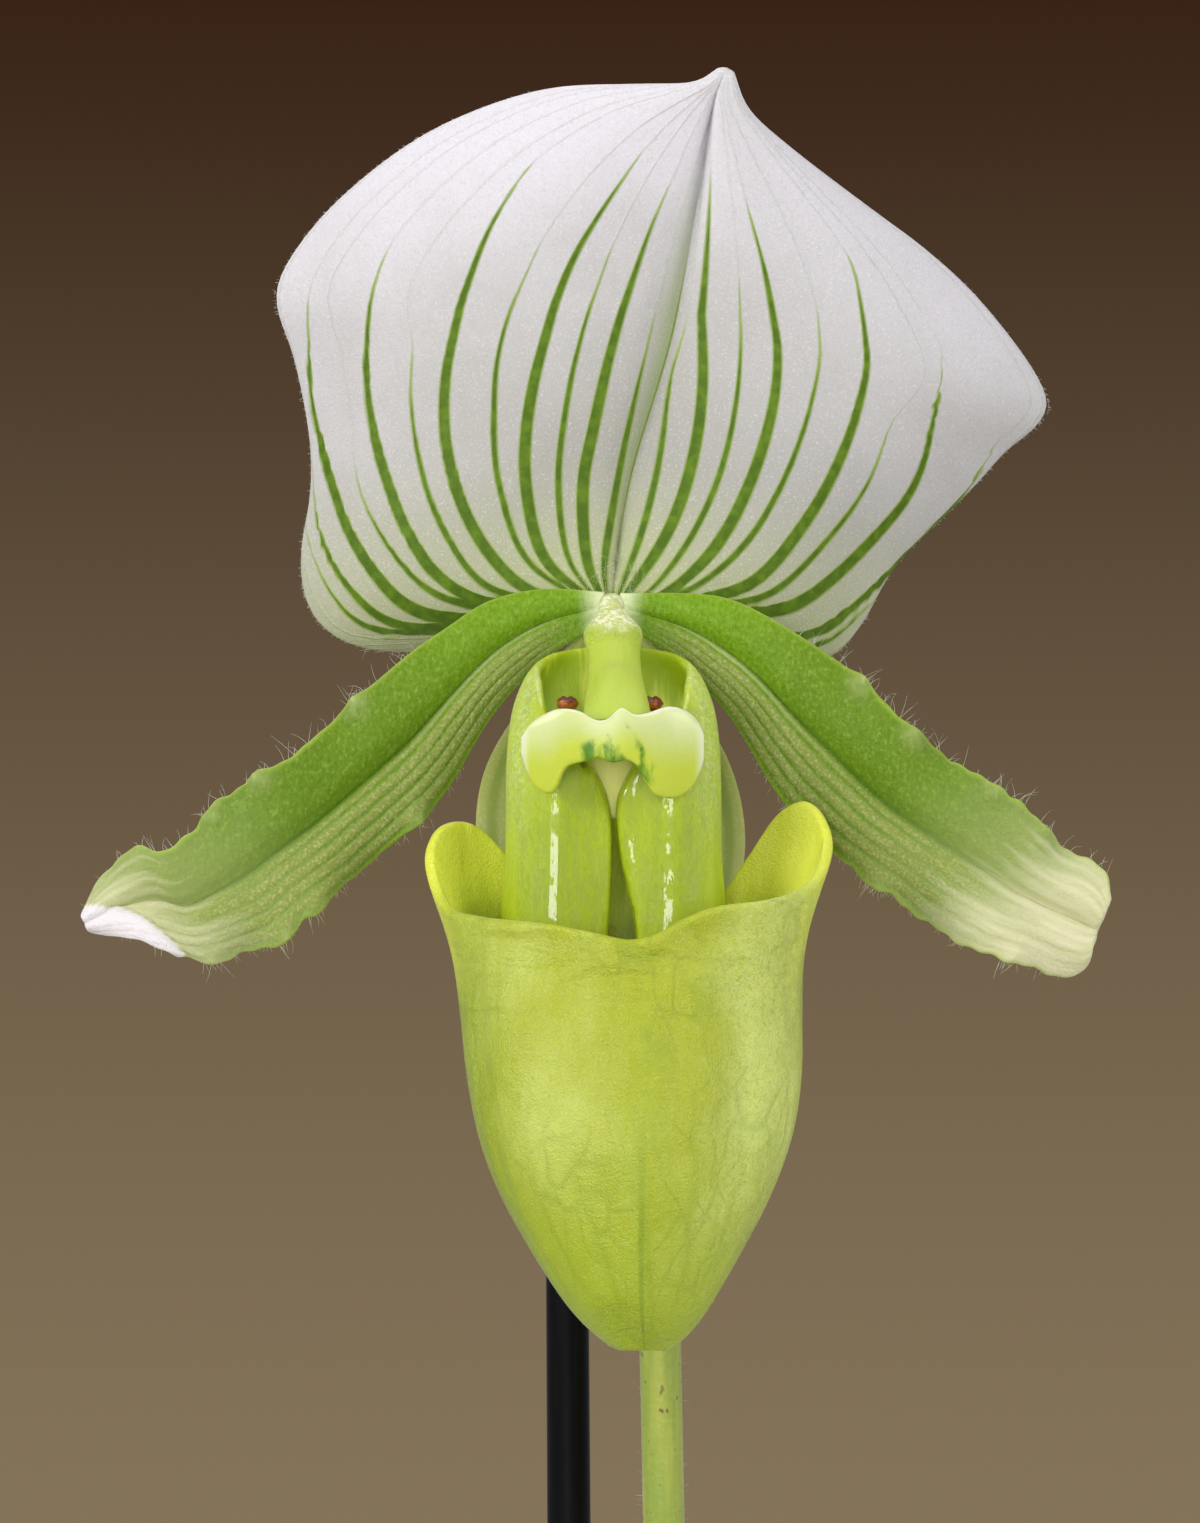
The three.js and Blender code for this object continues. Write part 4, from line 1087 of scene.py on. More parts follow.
# Dorsal sepal: every vein runs from the base to the tip, so a vein is a line of equal s, which is
# 0 on the midrib and 1 on a margin. Flat points are (x, z) in the bloom's own frame.
SEPAL_MIDRIB = [(0, 0.6), (1, 8.2), (2.2, 13.8), (5.4, 24.6), (7.7, 36.5), (9.2, 45.4), (10.3, 48.6)]
SEPAL_LEFT = [
    (-3.5, -0.3), (-10, -3.6), (-17.7, -3.9), (-23.2, -3.5), (-26.9, -1.5), (-28.5, 1.8), (-28.6, 6),
    (-27.8, 10.5), (-27.9, 16), (-29.3, 23.2), (-31, 28.4), (-29.6, 32.1), (-25.5, 37), (-19.1, 42),
    (-12.8, 45.1), (-5.6, 47), (2.5, 47), (7.6, 46.9), (9.8, 48.6),
]
SEPAL_RIGHT = [
    (3.5, -0.3), (8, -3.8), (14, -5.4), (19.9, -4.5), (23, -1.4), (26.2, 4.1), (31.6, 9.5),
    (34.3, 12.3), (36.2, 14.5), (39.4, 17.1), (40.1, 19.1), (37.9, 23), (33.3, 28.5), (28.7, 32.5),
    (24.1, 35.7), (16, 41.4), (12.1, 44.7), (10.9, 48.3),
]
SEPAL_THICKNESS = 0.8
SEPAL_SPREAD = 1.35

# Veins from the midrib outwards, each from its root to its end
VEINS_LEFT = [
    ("thin", [(-0.3, 0.1), (-0.8, 2.5), (-0.6, 6.1), (1, 15.2), (3.7, 26.6)]),
    ("bold", [(-0.6, 0), (-2.3, 4), (-2.7, 10.7), (-1.8, 16), (0.1, 24.3), (3.1, 33.5), (5, 38)]),
    ("thin", [(-0.8, 0), (-3.9, 4), (-4.9, 10.7), (-4.4, 17), (-2.9, 24.3), (0, 33)]),
    ("bold", [(-1.1, 0), (-6, 4), (-7.8, 10.7), (-7.7, 17), (-6.1, 24.3), (-3.3, 32), (2.4, 40.8)]),
    ("thin", [(-1.4, -0.1), (-7.6, 4), (-10.2, 11), (-10.7, 17), (-10, 24.3), (-6.5, 33)]),
    ("bold", [(-1.6, -0.1), (-7.7, 1.5), (-12, 6.1), (-14.5, 12), (-15.2, 18), (-14.4, 24.3),
              (-11.4, 33.5), (-7.3, 40.3)]),
    ("thin", [(-1.9, -0.1), (-10.7, 1.5), (-14.7, 6.1), (-17.1, 12), (-18.2, 19), (-17.8, 24.3)]),
    ("bold", [(-2.2, -0.1), (-12, 0.6), (-17, 4.3), (-20.1, 10.7), (-22, 18), (-22.2, 25), (-20.5, 32.5)]),
    ("thin", [(-2.5, -0.2), (-14.3, 0.6), (-18.8, 3.8), (-21.9, 8.4), (-23.4, 12)]),
    ("bold", [(-2.7, -0.2), (-16.2, -0.7), (-21.9, 3.8), (-25.3, 10.7), (-27.6, 19.8), (-27.5, 28)]),
    ("middling", [(-3, -0.2), (-18, -1.7), (-23.5, 1.5), (-26.5, 6.1), (-27.5, 11.6)]),
    ("thin", [(-3.3, -0.2), (-20.3, -2.1), (-25.5, 1.5), (-27.5, 5.6)]),
]
VEINS_RIGHT = [
    ("thin", [(0.3, 0.1), (2.6, 6.1), (4.4, 13), (5.4, 19.8), (6.4, 25.7)]),
    ("bold", [(0.6, 0), (4.8, 6.1), (7.2, 12.5), (8.3, 20), (8.3, 29), (8.7, 38.9)]),
    ("thin", [(1, 0), (3.6, 1.5), (7.1, 6.1), (10, 12.5), (11.6, 21), (11.6, 29.8)]),
    ("bold", [(1.3, 0), (5.5, 1.5), (9.9, 6.1), (13.2, 13), (15, 21), (14.2, 28.9), (12.2, 36.7)]),
    ("thin", [(1.6, -0.1), (7.1, 1.5), (12.4, 6.1), (16.2, 13), (18.6, 21), (18.6, 27.5)]),
    ("bold", [(1.9, -0.1), (11.4, 1.5), (16.3, 6.1), (20.4, 13), (22.9, 21), (22.2, 29), (21.2, 32.1)]),
    ("thin", [(2.2, -0.1), (12.6, 0.6), (17.3, 3.8), (22.8, 10.7), (25.3, 17.5)]),
    ("bold", [(2.5, -0.1), (14.4, -0.3), (18.4, 1.5), (23.4, 6.1), (28, 12.5), (29.8, 23.4)]),
    ("middling", [(2.9, -0.2), (16.7, -2.6), (23.4, 1.5), (28.1, 6.1), (32.5, 10.7), (35.7, 16.1)]),
    ("thin", [(3.2, -0.2), (17.1, -3.5), (20.8, -1.9), (23.3, 0)]),
]

# Half widths and the width of a soft edge, in millimetres
VEIN_WIDTHS = {
    "bold": track([(0, 0.34), (0.15, 0.58), (0.4, 0.6), (0.65, 0.46), (0.88, 0.22), (1, 0.06)]),
    "middling": track([(0, 0.26), (0.3, 0.46), (0.7, 0.36), (1, 0.06)]),
    "thin": track([(0, 0.18), (0.25, 0.36), (0.65, 0.29), (1, 0.05)]),
}
MIDRIB_WIDTH = track([(0, 0.3), (0.3, 0.3), (0.6, 0.2), (0.75, 0.08), (0.85, 0)])
VEIN_EDGE = 0.1
VEIN_ROWS = 72


def dorsal_surface():
    """The dorsal sepal: domed halves, a groove along the midrib and margins rolled back."""
    midrib = outline(SEPAL_MIDRIB)
    margins = [outline(SEPAL_LEFT), outline(SEPAL_RIGHT)]
    reflex = track([(0, 2.5), (0.15, 6.5), (0.35, 7), (0.6, 4), (0.85, 1), (1, 0)])

    def surface(u, v):
        side = 2 * u - 1
        s = abs(side) ** SEPAL_SPREAD
        place = midrib(v).lerp(margins[0 if side < 0 else 1](v), s)
        groove = 1.3 * bump(s, 0.06) * smoothstep(v, 0, 0.08)
        dome = -2.4 * math.sin(math.pi * s) * max(math.sin(math.pi * v), 0) ** 0.7
        lean = 3.2 * math.sin(0.85 * math.pi * v) - 2.6 * v**4
        return Vector((place.x, 2.5 + lean + groove + dome + reflex(v) * s**4, place.y))

    return surface


def traced_vein(points, width, midrib, margin):
    """Where a vein crosses the rows of the sepal, which run from midrib to margin: for each row,
    the share s of the row and the vein's half width as a share of the row."""
    steps = 90
    curve = outline(points)
    line = [curve(k / steps) for k in range(steps + 1)]
    crossings = []
    passed = 0
    for row in range(VEIN_ROWS):
        start = midrib(row / VEIN_ROWS)
        reach = margin(row / VEIN_ROWS) - start
        found = None
        for k in range(passed, steps):
            run = line[k + 1] - line[k]
            before, after = reach.cross(line[k] - start), reach.cross(line[k + 1] - start)
            if before * after <= 0 and before != after:
                share = before / (before - after)
                s = (line[k] + run * share - start).dot(reach) / reach.length_squared
                if 0 < s < 1.2:
                    slant = abs(reach.cross(run)) / (reach.length * run.length)
                    half = width((k + share) / steps) / (reach.length * max(slant, 0.35))
                    found = (s, half)
                    passed = k
                    break
        crossings.append(found or (crossings[-1][0] if crossings else 0.01, 0.0))
    for _ in range(2):
        near = [crossings[0]] + crossings + [crossings[-1]]
        crossings = [tuple((a + 2 * b + c) / 4 for a, b, c in zip(*three))
                     for three in zip(near, near[1:], near[2:])]
    return crossings


def dorsal_pattern():
    """A pattern of (vein number, half width, soft edge), where veins lie on whole numbers, which
    are negative on the left and 0 on the midrib. Widths and edges are in the same unit."""
    midrib = outline(SEPAL_MIDRIB)
    least_gap = 0.035
    sides = []
    for margin, veins in ((outline(SEPAL_LEFT), VEINS_LEFT), (outline(SEPAL_RIGHT), VEINS_RIGHT)):
        traced = [traced_vein(points, VEIN_WIDTHS[kind], midrib, margin) for kind, points in veins]
        rows = []
        for row in range(VEIN_ROWS):
            v = row / VEIN_ROWS
            length = (margin(v) - midrib(v)).length
            places, halves = [0.0], [MIDRIB_WIDTH(v) / length]
            for crossings in traced:
                s, half = crossings[row]
                places.append(max(s, places[-1] + least_gap))
                halves.append(half)
            rows.append((length, places, halves))
        sides.append(rows)

    def pattern(u, v):
        rows = sides[0 if u < 0.5 else 1]
        s = abs(2 * u - 1) ** SEPAL_SPREAD
        row = min(v * VEIN_ROWS, VEIN_ROWS - 1.001)
        i, share = int(row), row % 1
        length = lerp(rows[i][0], rows[i + 1][0], share)
        places = [lerp(a, b, share) for a, b in zip(rows[i][1], rows[i + 1][1])]
        halves = [lerp(a, b, share) for a, b in zip(rows[i][2], rows[i + 1][2])] + [0.0]
        k = clamp(bisect_right(places, s) - 1, 0, len(places) - 2)
        gap = places[k + 1] - places[k]
        number = k + (s - places[k]) / gap
        half = halves[min(round(number), len(places))]
        return (number if u > 0.5 else -number, half / gap, VEIN_EDGE / (length * gap))

    return pattern


# Petals: ribbons between an upper and a lower edge, grooved along the midrib
PETAL_THICKNESS = 0.9
PETAL_MIDRIB = 0.49
PETAL_VEIN_STEP = 0.088
FLAP_START = 0.83
PETALS = {
    "left": {
        "upper": [
            (-0.7, 1.2), (-6.3, 1.4), (-11.1, 0.3), (-14.9, -2.1), (-18.2, -4.4), (-23, -8.6),
            (-28.4, -13.4), (-34.2, -17.1), (-39.4, -21.9), (-42.2, -21.6), (-45.4, -24.6), (-47.2, -28),
        ],
        "lower": [
            (-0.7, -1.5), (-5.3, -4.3), (-7.9, -6.6), (-11.1, -10.4), (-14.6, -16.3), (-17.3, -19.5),
            (-22.3, -23.7), (-27.1, -28), (-29.7, -30.3), (-33, -31.2), (-37, -31.8), (-42, -30),
            (-46.8, -29),
        ],
        "warts": [(1, 0.44), (1, 0.63), (1, 0.72), (1, 0.94), (0, 0.42), (0, 0.62), (0, 0.68), (0, 0.8)],
        "phase": 0.4,
        "flap": track([(0.83, -0.1), (0.88, 0.22), (0.93, 0.45), (0.97, 0.75), (1, 1.1)]),
        "pale": 0.8,
    },
    "right": {
        "upper": [
            (0.7, 1.1), (6.8, 1), (10.5, 0.5), (14, -1.1), (17.4, -3.2), (22.2, -6.6), (25.7, -10.2),
            (28.9, -13), (33.4, -15.9), (37, -18.4), (39.8, -21.6), (42.4, -22.7), (44.1, -24.3),
            (44.4, -26.4),
        ],
        "lower": [
            (0.7, -1.5), (5.4, -4.6), (8.3, -7.5), (11.2, -10.9), (15.1, -17.5), (20.3, -22.8),
            (24.9, -26.2), (28.4, -28.7), (32.6, -31.1), (35.6, -31.7), (38.6, -33), (41.2, -33.1),
            (42.4, -31.9),
        ],
        "warts": [(1, 0.44), (1, 0.56), (1, 0.72), (1, 0.83), (0, 0.6), (0, 0.86)],
        "phase": 2.0,
        "flap": track([(0, -1), (1, -1)]),
        "pale": 1.0,
    },
}


def wart_height(petal, u, v):
    """The warts on a petal's edges, about 1 high. Each is (edge, share of the petal's length)."""
    knobbly = 1 + 0.45 * math.sin(260 * v) * math.sin(60 * u)
    return knobbly * sum(bump((u - lerp(0.04, 0.96, side)) / 0.08, 1) * bump((v - at) / 0.019, 1)
                         for side, at in petal["warts"])


def petal_surface(petal):
    """A petal: a ribbon with warts on its edges, ribs below its midrib and a folded tip."""
    edges = [outline(petal["upper"]), outline(petal["lower"])]
    forward = track([(0, 1), (0.2, 0.2), (0.5, -2.6), (0.8, -4.6), (1, -4)])

    def surface(u, v):
        wart = wart_height(petal, u, v)
        knob = math.sin(118 * v + petal["phase"]) * math.sin(47 * v) * smoothstep(v, 0.4, 0.7)
        push = 0.032 * wart + 0.02 * knob * abs(2 * u - 1) ** 6
        place = edges[0](v).lerp(edges[1](v), 1 - u - push * math.copysign(1, u - 0.5))
        groove = 0.5 * bump(u - 0.5, 0.08) * smoothstep(v, 0, 0.1)
        dome = -0.6 * math.sin(TAU * abs(u - 0.5)) * smoothstep(v, 0, 0.2)
        edge = (2 * u - 1) ** 2 * smoothstep(v, 0.2, 0.6)
        wave = 0.9 * math.sin(26 * v + petal["phase"] + 2 * u) * edge
        low = smoothstep(u, 0.5, 0.42) * smoothstep(v, 0.05, 0.2) * smoothstep(v, 0.98, 0.8)
        ribs = 0.07 * math.cos(TAU * (PETAL_MIDRIB - u) / PETAL_VEIN_STEP) * low
        fold = -0.9 * smoothstep(petal["flap"](v) - u, -0.02, 0.03) * smoothstep(v, 0.82, 0.86)
        depth = forward(v) + groove + dome + wave + ribs + fold - 0.7 * wart
        return Vector((place.x, depth, place.y))

    return surface


def petal_pattern(petal):
    """A pattern of (vein number down from the midrib, share of white between veins, paleness
    towards the tip, which passes 2 on the flap)."""
    def pattern(u, v):
        number = (PETAL_MIDRIB - u) / PETAL_VEIN_STEP
        lower = smoothstep(number, 0.25, 0.75) * smoothstep(number, 5.2, 4.6) * smoothstep(v, 0.02, 0.14)
        upper = smoothstep(v, 0.72, 0.95) * smoothstep(1 - u, 0.02, 0.12)
        white = max(lower, 0.35 * upper)
        tip = 1.45 * petal["pale"] * smoothstep(v + 0.16 * (0.5 - u), 0.5, 1.0)
        tip = max(tip, 0.65 * wart_height(petal, u, v))
        if v > FLAP_START and u < petal["flap"](v):
            tip = 2.5
        return (number, white, tip)

    return pattern


# Synsepal: the joined lower sepals, a boat behind the lip that ends in one point

def synsepal_surface():
    half = track([(0, 3.2), (0.15, 7.6), (0.32, 11.4), (0.5, 12.2), (0.7, 9.8), (0.88, 4.8), (1, 0.8)])
    depth = track([(0, 2.5), (0.15, 4.4), (0.4, 8), (0.7, 8.6), (1, 4)])
    centre = track([(0, 0), (0.35, -0.3), (1, 1.2)])

    def surface(u, v):
        s = 1 - 2 * u
        boat = -2.6 * s**2 * math.sin(math.pi * clamp(v, 0, 1))
        return Vector((centre(v) + half(v) * s, depth(v) + boat, lerp(-2.6, -42, v)))

    return surface


def synsepal_pattern(u, v):
    veins = 4.5
    return (abs(2 * u - 1) * veins, 0.17 * (1 - smoothstep(v, 0.55, 0.98)), 0)


# Lip: a slipper with a closed toe, whose rim stands up in an ear on each side
RIM_HEIGHTS = [
    (0, -29.4), (8, -28.9), (16, -27.6), (26, -26.6), (44, -26.1), (58, -25.6), (68, -25), (78, -24),
    (88, -22.2), (98, -20.4), (112, -18.2), (122, -17.6), (134, -19), (144, -23), (152, -27),
    (166, -28), (180, -28), (200, -28), (208, -25.6), (215, -22.6), (224, -20.1), (234, -19.4),
    (246, -20), (258, -22), (270, -24.6), (286, -26.8), (308, -27.5), (335, -28), (350, -28.7),
    (360, -29.4),
]
LIP_HOLLOWS = [
    {"turn": 0.03, "height": 0.86, "width": 0.07, "tall": 0.16, "depth": 0.7},
    {"turn": 0.2, "height": 0.6, "width": 0.05, "tall": 0.2, "depth": 0.9},
    {"turn": -0.07, "height": 0.6, "width": 0.07, "tall": 0.3, "depth": 0.5},
    {"turn": -0.34, "height": 0.7, "width": 0.05, "tall": 0.22, "depth": 0.6},
    {"turn": 0.36, "height": 0.82, "width": 0.05, "tall": 0.16, "depth": 0.4},
    {"turn": -0.16, "height": 0.92, "width": 0.06, "tall": 0.07, "depth": 0.4},
    {"turn": 0.16, "height": 0.93, "width": 0.05, "tall": 0.06, "depth": 0.4},
]
LIP_TOE = -64.5
LIP_THICKNESS = 1.0


def slipper_surface():
    """The lip's pouch, from its toe up to the wavy rim."""
    rim = track(RIM_HEIGHTS)
    middle = track([(-65.1, 2.7), (-60, 2.2), (-52, 2.0), (-42, 1.9), (-27, 1.2), (-17, 1.2)])
    half = track([
        (-65.1, 0), (-64.5, 2.2), (-63.4, 3.9), (-61.4, 5.8), (-58.6, 7.7), (-55.8, 9.4), (-52.4, 11.3),
        (-49, 12.8), (-45.4, 13.9), (-41, 14.6), (-36.4, 14.9), (-31.8, 15.3), (-28.6, 16),
        (-25.6, 17), (-22, 18.2), (-17, 18.6),
    ])
    front = track([(-65.1, -19), (-60, -23), (-50, -25.2), (-40, -24.6), (-30, -21), (-25, -20),
                   (-17, -17)])
    back = track([(-65.1, -19), (-60, -12.6), (-50, -6.6), (-40, -3.2), (-30, -1.8), (-25, -1.6),
                  (-17, -3)])

    half_wall = 0.45

    def surface(u, v):
        degrees = (u * 360 + 180) % 360
        turn = math.radians(degrees)
        wall = 1 - (1 - v) ** 1.5
        rise = math.sin(wall * math.pi / 2) ** 2 * 0.35 + wall * v * 0.65
        z = lerp(LIP_TOE, rim(degrees), rise)
        across, deep = math.sin(turn), math.cos(turn)
        ridge = 0.5 * bump(math.sin(turn / 2), 0.12) * smoothstep(v, 0.1, 0.5)
        lip = 0.5 * smoothstep(v, 0.93, 1) * max(deep, 0)
        hollow = sum(
            dent["depth"] * bump((2 * u - 1 - dent["turn"]) / dent["width"], 1)
            * bump((v - dent["height"]) / dent["tall"], 1)
            for dent in LIP_HOLLOWS
        )
        y = lerp(back(z), front(z), (1 + deep) / 2) - ridge - lip + hollow
        wide = max(half(z) - half_wall, 0)
        return Vector((middle(z) + wide * math.copysign(abs(across) ** 0.92, across), y, z))

    return surface


def slipper_pattern(u, v):
    """(turn from the front, height up the wall, 1 on the front)"""
    turn = (u - 0.5) * 2
    return (turn, v, smoothstep(abs(turn), 0.55, 0.3))


def neck_surface():
    """The lip's claw, rolled into a tube whose two glossy edges turn inwards along a front slit."""
    half = track([(-41, 6.8), (-30, 9.4), (-22, 9.1), (-14, 9), (-10, 8.6), (-8, 8), (-6, 7), (-4.7, 5.8),
                  (-3.6, 4.6)])
    front = track([(-41, -13), (-30, -13.2), (-22, -13.2), (-14, -13), (-8, -9.8), (-3.6, -5.4)])
    back = track([(-41, -3.6), (-30, -1.8), (-14, -0.7), (-3.6, -0.4)])
    top = track([(0, -3.6), (0.3, -4.2), (0.45, -5.2), (0.6, -6.8), (0.68, -9.7), (0.76, -13), (0.88, -14),
                 (1, -14.2)])
    slit_left = track([(-41, 1.7), (-28, 1), (-21, 0.75), (-17.6, 1.1), (-15.6, 1.9), (-13.4, 3.4)])
    slit_right = track([(-41, 3.4), (-27.6, 2.4), (-24.8, 1.7), (-21, 1), (-17.6, 0.9), (-15.6, 1.7),
                        (-13.4, 3)])
    foot, fold_start, full_turn = -41, 0.84, math.radians(169)

    def surface(u, v):
        s = 1 - 2 * u
        roll = abs(s)
        slit = slit_right if s > 0 else slit_left
        z = lerp(foot, top(roll), v)
        turn = min(roll / fold_start, 1) * full_turn
        fold = clamp((roll - fold_start) / (1 - fold_start), 0, 1)
        x = lerp(half(z) * math.sin(turn), slit(z), smoothstep(roll, 0.72, 0.86)) - 0.25 * fold
        inward = 2.1 * (1 - smoothstep(x, 0.6, 6.2)) * smoothstep(roll, 0.5, 0.62)
        y = lerp(back(z), front(z), (1 - math.cos(turn)) / 2) + inward + 1.2 * fold**0.8
        return Vector((0.1 + math.copysign(x, s), y, z))

    return surface


# Staminode: the pale shield at the column's tip, two lobes over an arch, with a point between
SHIELD_THICKNESS = 1.1
SHIELD_HALF = 7.7
SHIELD_TOP = [
    (-7.7, -11.9), (-7, -10.8), (-6.1, -10.1), (-4.6, -9.5), (-2.9, -9.7), (-1.4, -10.5), (-0.4, -10.4),
    (0.2, -9.8), (0.7, -9.4), (1.2, -9.6), (1.8, -10), (2.9, -9.9), (4.8, -9.3), (6.2, -9.6),
    (7.2, -10.5), (7.7, -11.6),
]
SHIELD_FOOT = [
    (-7.7, -13.5), (-7.1, -15.4), (-6.3, -16.5), (-5.4, -16.9), (-4.8, -16.3), (-4.4, -15.2),
    (-3.8, -14.5), (-2.4, -14.1), (-1.1, -13.8), (0, -14.2), (1.3, -14), (2.2, -14.6), (2.8, -15.7),
    (3.4, -16.8), (4.4, -17.3), (5.7, -17.2), (6.8, -16.3), (7.5, -14.8), (7.7, -14),
]


def shield_surface():
    """The staminode: a shallow dish between its top and its arched foot."""
    top = track(SHIELD_TOP)
    foot = track(SHIELD_FOOT)

    def surface(u, v):
        x = SHIELD_HALF * math.sin((u - 0.5) * math.pi)
        z = lerp(foot(x), top(x), v)
        return Vector((x, 0.045 * x**2 + 0.02 * (z + 12) ** 2 - 15.4, z))

    return surface


def shield_pattern(u, v):
    """(side, height, closeness to the rim)"""
    side = math.sin((u - 0.5) * math.pi)
    rim = max(abs(side), smoothstep(v, 0.7, 1.0), 0.9 * smoothstep(v, 0.25, 0.0) * abs(side) ** 0.5)
    return (side, v, rim)


# Leaves: each starts as a sheath wrapped round its fan's centre and opens into a blade
MAIN_FAN = {"centre": Vector((8, 5, 0)), "turn": 12}
YOUNG_FAN = {"centre": Vector((11, -25, 0)), "turn": 0}
SHEATH_RADIUS = 3.4
SHEATH_STEP = 1.7
SHEATH_WRAP = 109
SHEATH_FOOT = 74 + SEAT_GAP
LEAF_THICKNESS = 1.1
MAIN_LEAVES = [
    {"azimuth": 0, "reach": 52, "rise": 78, "droop": -0.12, "half_width": 14.5},
    {"azimuth": 180, "reach": 66, "rise": 66, "droop": -0.02, "half_width": 17},
    {"azimuth": 0, "reach": 92, "rise": 52, "droop": 0.15, "half_width": 19},
    {"azimuth": 180, "reach": 104, "rise": 42, "droop": 0.35, "half_width": 20.5},
    {"azimuth": 0, "reach": 114, "rise": 31, "droop": 0.55, "half_width": 21},
    {"azimuth": 180, "reach": 108, "rise": 23, "droop": 0.6, "half_width": 20},
]
YOUNG_LEAVES = [
    {"azimuth": -90, "reach": 34, "rise": 34, "droop": -0.1, "half_width": 9},
    {"azimuth": -32, "reach": 68, "rise": 26, "droop": 0.3, "half_width": 14.5},
    {"azimuth": 212, "reach": 74, "rise": 22, "droop": 0.5, "half_width": 15.5},
]
BRACT = {
    "radius": 3.1, "foot": 320, "sheath_top": 327, "reach": 3.4, "rise": 13, "droop": -0.05,
    "half_width": 3.8, "wrap": 100,
}


def fan_leaves(leaves, first_top, drop):
    """The leaves of a fan from its heart outwards, each with its place in the nest of sheaths."""
    return [
        {**leaf, "foot": SHEATH_FOOT, "radius": SHEATH_RADIUS + SHEATH_STEP * k,
         "sheath_top": first_top - drop * k}
        for k, leaf in enumerate(leaves)
    ]


def leaf_shape(leaf):
    """The surface of a leaf, and the pattern that its materials read: metres from the midrib,
    metres along, and the share of the blade."""
    radius, foot, top = leaf["radius"], leaf["foot"], leaf["sheath_top"]
    reach, rise, droop = leaf["reach"], leaf["rise"], leaf["droop"]
    spine = curve_through([
        (radius, 0, foot),
        (radius, 0, lerp(foot, top, 0.55)),
        (radius + 0.01 * reach, 0, top),
        (radius + 0.2 * reach, 0, top + 0.52 * rise),
        (radius + 0.47 * reach, 0, top + 0.93 * rise),
        (radius + 0.75 * reach, 0, top + rise * (1 - 0.25 * droop)),
        (radius + reach, 0, top + rise * (1 - droop)),
    ])
    neck = clamp((top - foot) / spine.length, 0.05, 0.5)
    wrap = math.radians(leaf.get("wrap", SHEATH_WRAP))
    sheath_half, half_width = radius * wrap, leaf["half_width"]

    def along(share):
        return lerp(neck, 1, share)

    half = track([
        (0, sheath_half), (0.85 * neck, sheath_half), (neck, sheath_half),
        (along(0.16), lerp(sheath_half, half_width, 0.6)), (along(0.42), half_width * 0.98),
        (along(0.62), half_width), (along(0.82), half_width * 0.74), (along(0.95), half_width * 0.3),
        (1, 0.8),
    ])
    fold = track([
        (0, wrap), (0.85 * neck, wrap), (neck, wrap), (along(0.1), wrap * 0.68),
        (along(0.28), 0.75), (along(0.6), 0.42), (1, 0.35),
    ])

    def surface(u, v):
        place = spine(v)
        tangent = heading(spine, v)
        s, turn = 2 * u - 1, fold(v)
        arc = half(v) / turn
        ripple = 0.7 * abs(s) ** 3 * math.sin(15 * v + 2 * s) * smoothstep(v, neck, 1)
        keel = -0.5 * bump(s, 0.07) * smoothstep(v, neck, neck + 0.2)
        lift = arc * (1 - math.cos(turn * s)) + ripple + keel
        return place + Vector((-tangent.z * lift, -arc * math.sin(turn * s), tangent.x * lift))

    def pattern(u, v):
        return ((2 * u - 1) * half(v) * MM, v * spine.length * MM, (v - neck) / (1 - neck))

    return surface, pattern


def stem_curve():
    return curve_through(STEM_ROUTE)


def ovary_curve():
    top = Vector(STEM_ROUTE[-1]) - HEART
    foot = (top.x, top.y, top.z + SEAT_GAP)
    return curve_through([foot, (3.9, 26, -32), (3, 23.5, -17), (1.2, 16, -5), (0.2, 9, -0.8),
                          (0, 3.7, 0)])


def stake_line(share):
    return STAKE_FOOT.lerp(STAKE_TOP, share)


# Makers of the pieces

def make_dorsal_sepal(sizes, colours):
    sheet_piece("sepal_dorsal", dorsal_surface(), 150, 56, SEPAL_THICKNESS, [sepal_finish(colours)],
                ["dorsal_sepal"], "sepal_white", origin=HEART, pattern=dorsal_pattern())


def make_synsepal(sizes, colours):
    sheet_piece("sepal_lower", synsepal_surface(), 40, 36, SEPAL_THICKNESS,
                [synsepal_finish()], ["synsepal"], "synsepal_pale", origin=HEART,
                pattern=synsepal_pattern)


def make_petals(sizes, colours):
    finish = petal_finish(colours)
    for side, petal in PETALS.items():
        sheet_piece(f"petal_ribbon_{side}", petal_surface(petal), 46, 120, PETAL_THICKNESS, [finish],
                    [f"petal_{side}"], "petal_green", origin=HEART, pattern=petal_pattern(petal))


def make_lip(sizes, colours):
    sheet_piece("lip_slipper", slipper_surface(), 128, 56, LIP_THICKNESS, [slipper_finish(colours)],
                ["lip_pouch"], "lip_green", origin=HEART, pattern=slipper_pattern, closed=True,
                thin=0.8)
    sheet_piece("lip_neck", neck_surface(), 92, 40, LIP_THICKNESS, [neck_finish()],
                ["lip_pouch"], "lip_green", origin=HEART, thin=0.6)


